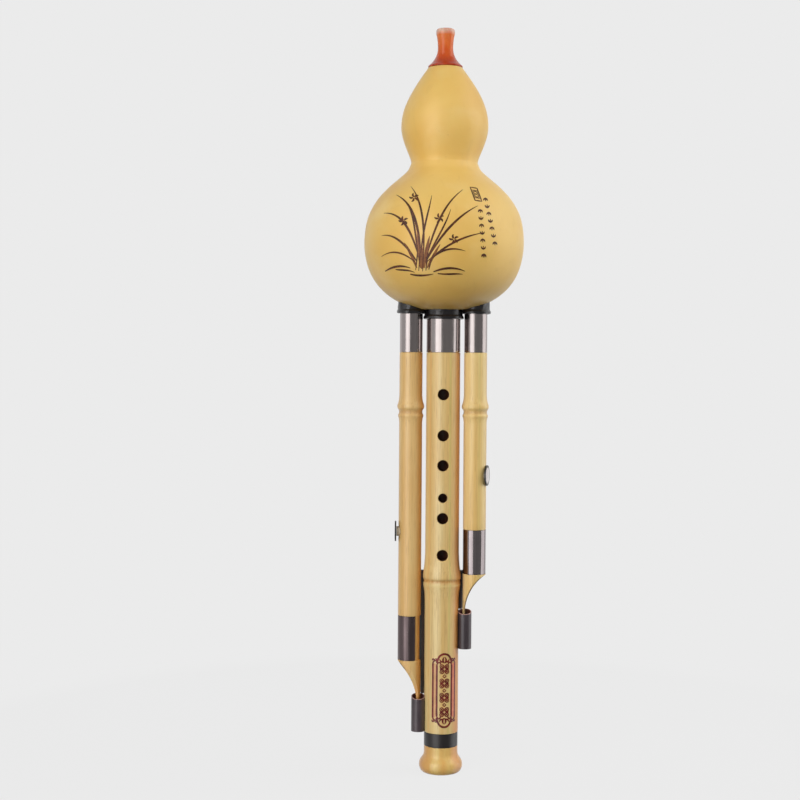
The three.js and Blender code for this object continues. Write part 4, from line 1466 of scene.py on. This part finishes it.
def drawing(name, bm, material, body, slot):
    """Gives the strokes their thickness, down into the surface, and makes them a piece."""
    bmesh.ops.recalc_face_normals(bm, faces=bm.faces)
    bmesh.ops.solidify(bm, geom=bm.faces[:], thickness=STROKE_DEPTH)
    made(name, bm, material, body=body, slot=slot)


# %% [markdown]
# The drawing on the gourd is a tuft of grass-like leaves with a few small flowers, a common
# subject of burnt decoration. Each leaf is one brush stroke, drawn as it would be seen from
# straight in front and then laid back onto the round gourd.

# %% Drawing on the gourd
gourd_tree = BVHTree.FromPolygons(
    [v.co for v in gourd.data.vertices], [p.vertices for p in gourd.data.polygons]
)


def on_gourd(point):
    """A point seen from in front, as (to the right, height), on the gourd's front."""
    start = Vector((point.x, -GOURD_TOP, point.y))
    place, normal, _, _ = gourd_tree.ray_cast(start, Vector((0, 1, 0)))
    return place + normal * STROKE_LIFT


def burnt_finish(name, dark, light, roughness=0.5, **values):
    layers = [(paint(*light), 260, 4, 0.38, 0.66, 1)]
    bumps = [(2200, 2, 0.02 * MM, 0.5)]
    return layered_finish(name, roughness, paint(*dark), layers, bumps, **values)


burnt_line = burnt_finish("burnt_line", (60, 26, 10), (94, 48, 20))
burnt_wash = burnt_finish("burnt_wash", (104, 56, 24), (140, 88, 42))

LEAVES = (
    # four handles each, in mm to the right of the axis and above the gourd's base, and a width
    ((-12, 22), (-13, 40), (-16, 50), (-24, 55), 1.0),
    ((-13, 24), (-17, 38), (-22, 46), (-30, 46), 0.9),
    ((-11, 23), (-10, 40), (-12, 52), (-17, 59), 0.8),
    ((-10, 22), (-6, 38), (-1, 50), (8, 57), 0.8),
    ((-9, 23), (-2, 36), (6, 44), (15, 49), 0.9),
    ((-9, 22), (0, 30), (8, 34), (18, 36), 0.8),
    ((-12, 23), (-12, 36), (-8, 47), (-7, 54), 0.7),
    ((-14, 22), (-19, 30), (-25, 36), (-31, 35), 0.8),
    ((-10, 22), (-5, 32), (0, 40), (2, 47), 0.7),
    ((-13, 23), (-15, 34), (-15, 44), (-19, 50), 0.7),
    ((-8, 22), (-3, 28), (3, 29), (9, 27), 0.7),
    ((-15, 22), (-21, 27), (-26, 28), (-31, 25), 0.6),
)
WASHES = (
    ((-12, 19), (-13, 26), (-13, 31), (-14, 36), 1.8),
    ((-10.5, 19), (-10, 25), (-9, 30), (-8, 34), 1.6),
    ((-14, 19), (-16, 24), (-18, 28), (-20, 31), 1.3),
    ((-9, 19), (-7, 23), (-5, 27), (-3, 30), 1.3),
    ((-11.5, 18.5), (-11.5, 22), (-11.3, 26), (-11, 29), 1.6),
)
TUFT = (
    ((-14.5, 18), (-14, 22), (-13.6, 26), (-13.6, 30), 0.5),
    ((-13, 17.6), (-12.8, 22), (-12.4, 26), (-12.4, 31), 0.5),
    ((-11.2, 17.4), (-11, 21), (-11, 25), (-10.8, 30), 0.5),
    ((-9.6, 17.8), (-9.4, 21), (-9, 24), (-8.4, 28), 0.5),
    ((-8.2, 18.2), (-8, 20), (-7, 23), (-5.8, 26), 0.5),
)
GROUND = (
    ((-29, 18), (-25, 20.4), (-21, 20.6), (-17, 19), 0.8),
    ((-24, 18.6), (-21, 18), (-18, 18.4), (-15, 17), 0.6),
    ((-6, 17.2), (-1, 19.2), (4, 19.6), (9, 17.6), 0.8),
    ((-4, 16.4), (1, 15.8), (5, 16.6), (8, 16.2), 0.6),
    ((-17, 16.2), (-13, 15.2), (-10, 15.4), (-6, 16.2), 0.7),
)
FLOWERS = ((-20.5, 41.5), (-3.5, 42.5), (3.5, 32.5), (-15.5, 53))
PETALS = 5
PETAL_SIZE = 2.4
LEAF_FULL = 1.25  # how much fuller the leaves are drawn


def flower(bm, x, z, size):
    middle = Vector((x, z))
    for k in range(PETALS):
        turn = tau * k / PETALS + 0.4
        along = Vector((cos(turn), sin(turn)))
        bend = Vector((-sin(turn), cos(turn))) * size * 0.25
        start, end = middle + along * size * 0.15, middle + along * size
        handles = (start, start.lerp(end, 0.3) + bend, start.lerp(end, 0.7) + bend, end)
        brushed(bm, handles, size * 0.42, on_gourd, 6)


def lifted(strokes):
    """The same strokes with their heights measured from the foot of the instrument."""
    base = GOURD_BASE / MM
    return [([(x, z + base) for x, z in handles], width) for *handles, width in strokes]


leaf_bm = bmesh.new()
for handles, width in lifted((*LEAVES, *TUFT, *GROUND)):
    brushed(leaf_bm, handles, width * LEAF_FULL, on_gourd)
for x, z in FLOWERS:
    flower(leaf_bm, x, z + GOURD_BASE / MM, PETAL_SIZE)
drawing("gourd_drawing", leaf_bm, burnt_line, "wind_chamber", "gourd_skin")
wash_and_sheen_bm = bmesh.new()
for handles, width in lifted(WASHES):
    brushed(wash_and_sheen_bm, handles, width, on_gourd)
drawing("gourd_drawing_wash", wash_and_sheen_bm, burnt_wash, "wind_chamber", "gourd_skin")

# %% [markdown]
# To the right of the tuft stand a slanted double frame and two columns of small marks. They
# are plain leaf shapes and lattice lines, so that nothing on the gourd can be read.

# %% Marks on the gourd
MARK_STEP = 3.55
MARK_HALF = 0.95
MARK_LEAF = ((0, -0.5), (0.4, -0.5), (0.9, -0.1), (1.1, 0.75))
COLUMNS = (
    # to the right of the axis, height over the gourd's base, number of marks and lean
    (18.9, 52.5, 7, 0.75),
    (16.2, 46.5, 7, 0.3),
)
FRAME_CENTRE = Vector((14.3, 54.9))
FRAME_UP = Vector((-1.1, 3.35))
FRAME_ACROSS = Vector((1.65, -0.2))
FRAME_CORNERS = ((1, 1), (1, -1), (-1, -1), (-1, 1), (1, 1))


def mark(bm, x, z, kind):
    """A small leaf pair: a stem with a leaf on each side, turned over in every second mark."""
    flip = 1 if kind % 2 else -1
    base = z + GOURD_BASE / MM
    lined(bm, [(x, base - MARK_HALF), (x, base + MARK_HALF)], 0.4, on_gourd)
    for side in (-1, 1):
        leaf = [(x + side * out, base + flip * up) for out, up in MARK_LEAF]
        brushed(bm, leaf, 0.8, on_gourd, 5)
    if kind % 3 == 0:
        lined(bm, [(x - 0.8, base), (x + 0.8, base)], 0.4, on_gourd)


def in_frame(up, across):
    """A point of the slanted frame, whose half sizes are 1."""
    spot = FRAME_CENTRE + FRAME_UP * up + FRAME_ACROSS * across
    return spot.x, spot.y + GOURD_BASE / MM


mark_bm = bmesh.new()
for x, top, count, lean in COLUMNS:
    for k in range(count):
        mark(mark_bm, x + lean * k, top - MARK_STEP * k, k)
for share, width in ((1, 0.6), (0.6, 0.25)):
    corners = [in_frame(up * share, side * share) for up, side in FRAME_CORNERS]
    lined(mark_bm, corners, width, on_gourd)
for up in (-0.45, 0, 0.45):
    for slant in (0.18, -0.18):
        ends = [in_frame(up + end * slant, end * 0.6) for end in (-1, 1)]
        lined(mark_bm, ends, 0.32, on_gourd)
drawing("gourd_marks", mark_bm, burnt_line, "wind_chamber", "gourd_skin")
print("gourd drawings made")

# %% [markdown]
# The panel at the foot of the melody pipe is a double line with a pointed arch and two small
# scrolls at each end, filled with a chain of four-petalled flowers. It is stamped in a dark
# red varnish, which shines more than the bamboo, and it is drawn flat and rolled on.

# %% Panel on the melody pipe
PANEL_TURN = FRONT + radians(9.5)
PANEL_MIDDLE = 41.9
PANEL_HALF = 13.3
PANEL_WIDE = 5.85
PANEL_NARROW = 3.8
PANEL_GRAIN = 0.8
PANEL_LIFT = 0.06 * MM


def on_pipe(point):
    """A flat point, as (round the pipe, height over the foot), on the melody pipe."""
    turn = PANEL_TURN + point.x / MAIN_RADIUS
    reach = MAIN_RADIUS + PANEL_LIFT + STROKE_LIFT
    return Vector((reach * cos(turn), reach * sin(turn), point.y))


def mirrored(points):
    """The same points in the four quarters of the panel."""
    for side in (-1, 1):
        for up in (-1, 1):
            yield [(x * side, PANEL_MIDDLE + z * up) for x, z in points]


varnish = burnt_finish(
    "dark_varnish", (88, 15, 12), (118, 28, 20), 0.42, Coat_Weight=0.15, Coat_Roughness=0.2
)
panel_bm = bmesh.new()
wide, narrow, half = PANEL_WIDE, PANEL_NARROW, PANEL_HALF
for x, top, width in ((wide, half, 1.05), (narrow, half - 0.9, 0.95)):
    for placed in mirrored([(x, 0), (x, top)]):
        lined(panel_bm, placed, width, on_pipe, PANEL_GRAIN)
PANEL_ENDS = (
    # four handles each, to the side of the panel's middle line and above its straight sides,
    # then the width and whether it is even
    ((wide, 0), (wide, 1.7), (wide - 2.3, 1.9), (wide - 2.2, 0.5), 0.8, True),
    ((3.9, 0.2), (3.4, 1.9), (2.9, 4.7), (0, 4.8), 1, True),
    ((narrow, -0.9), (narrow - 0.1, 0.9), (narrow - 2, 1.1), (narrow - 1.8, -0.3), 0.7, True),
    ((wide - 1.1, 1.3), (wide - 0.3, 2.5), (wide + 0.5, 2.3), (wide + 0.4, 1.3), 0.9, False),
    ((wide - 2, 1.2), (wide - 2.4, 2.2), (wide - 1.5, 2.6), (wide - 1, 2.1), 0.8, False),
    ((0.1, 0.3), (1, 1.2), (1, 2.3), (0.1, 3.4), 0.9, False),
    ((0.5, 0.9), (1.6, 0.7), (2.3, 1.3), (2.4, 2.4), 0.8, False),
)
for *handles, width, even in PANEL_ENDS:
    for placed in mirrored([(x, half + z) for x, z in handles]):
        if even:
            curve = interpolate_bezier(*(Vector((x, z, 0)) for x, z in placed), 13)
            lined(panel_bm, [(p.x, p.y) for p in curve], width, on_pipe, PANEL_GRAIN)
        else:
            brushed(panel_bm, placed, width, on_pipe, 10)

CHAIN_STEP = 7.1
PETAL_LONG = 3
PETAL_BEND = 1.15
FOUR_SHARES = (0, 0.33, 0.67, 1)
for k in range(4):
    middle = PANEL_MIDDLE + (k - 1.5) * CHAIN_STEP
    for quarter in range(4):
        turn = pi / 2 * quarter + pi / 4
        along = Vector((cos(turn), sin(turn)))
        across = Vector((-along.y, along.x))
        start, end = (Vector((0, middle)) + along * reach for reach in (0.5, PETAL_LONG))
        for bend in (-PETAL_BEND, PETAL_BEND):
            near, far = (start.lerp(end, share) + across * bend for share in (0.25, 0.8))
            brushed(panel_bm, (start, near, far, end), 0.62, on_pipe, 8)
        vein = [start.lerp(end, t) + across * 0.01 * t for t in (0.1, 0.4, 0.6, 0.95)]
        brushed(panel_bm, vein, 0.6, on_pipe, 8)
    for side in (-1, 1):
        dash = [(side * (0.9 + 1.5 * t), middle + 0.01 * t) for t in FOUR_SHARES]
        brushed(panel_bm, dash, 0.8, on_pipe, 6)
for k in range(3):
    middle = PANEL_MIDDLE + (k - 1) * CHAIN_STEP
    corners = [(0, -0.8), (0.8, 0), (0, 0.8), (-0.8, 0), (0, -0.8)]
    lined(panel_bm, [(x, middle + z) for x, z in corners], 0.5, on_pipe)
drawing("pipe_panel", panel_bm, varnish, "melody_pipe", "bamboo")
# Between each pair of lines lies a painted sheen of the varnish, salmon and stronger on the right, paler on the
# left.
for name, sign, dark, light in (
    ("right", 1, (214, 122, 92), (226, 146, 112)),
    ("left", -1, (200, 148, 100), (212, 164, 118)),
):
    wash_and_sheen_bm = bmesh.new()
    between = (wide + narrow) / 2 * sign
    ends = [(between, PANEL_MIDDLE - half), (between, PANEL_MIDDLE + half)]
    lined(wash_and_sheen_bm, ends, wide - narrow - 0.9, on_pipe)
    panel_sheen = burnt_finish(name + "_panel_sheen", dark, light, 0.45)
    drawing(name + "_panel_sheen", wash_and_sheen_bm, panel_sheen, "melody_pipe", "bamboo")
print("panel made")
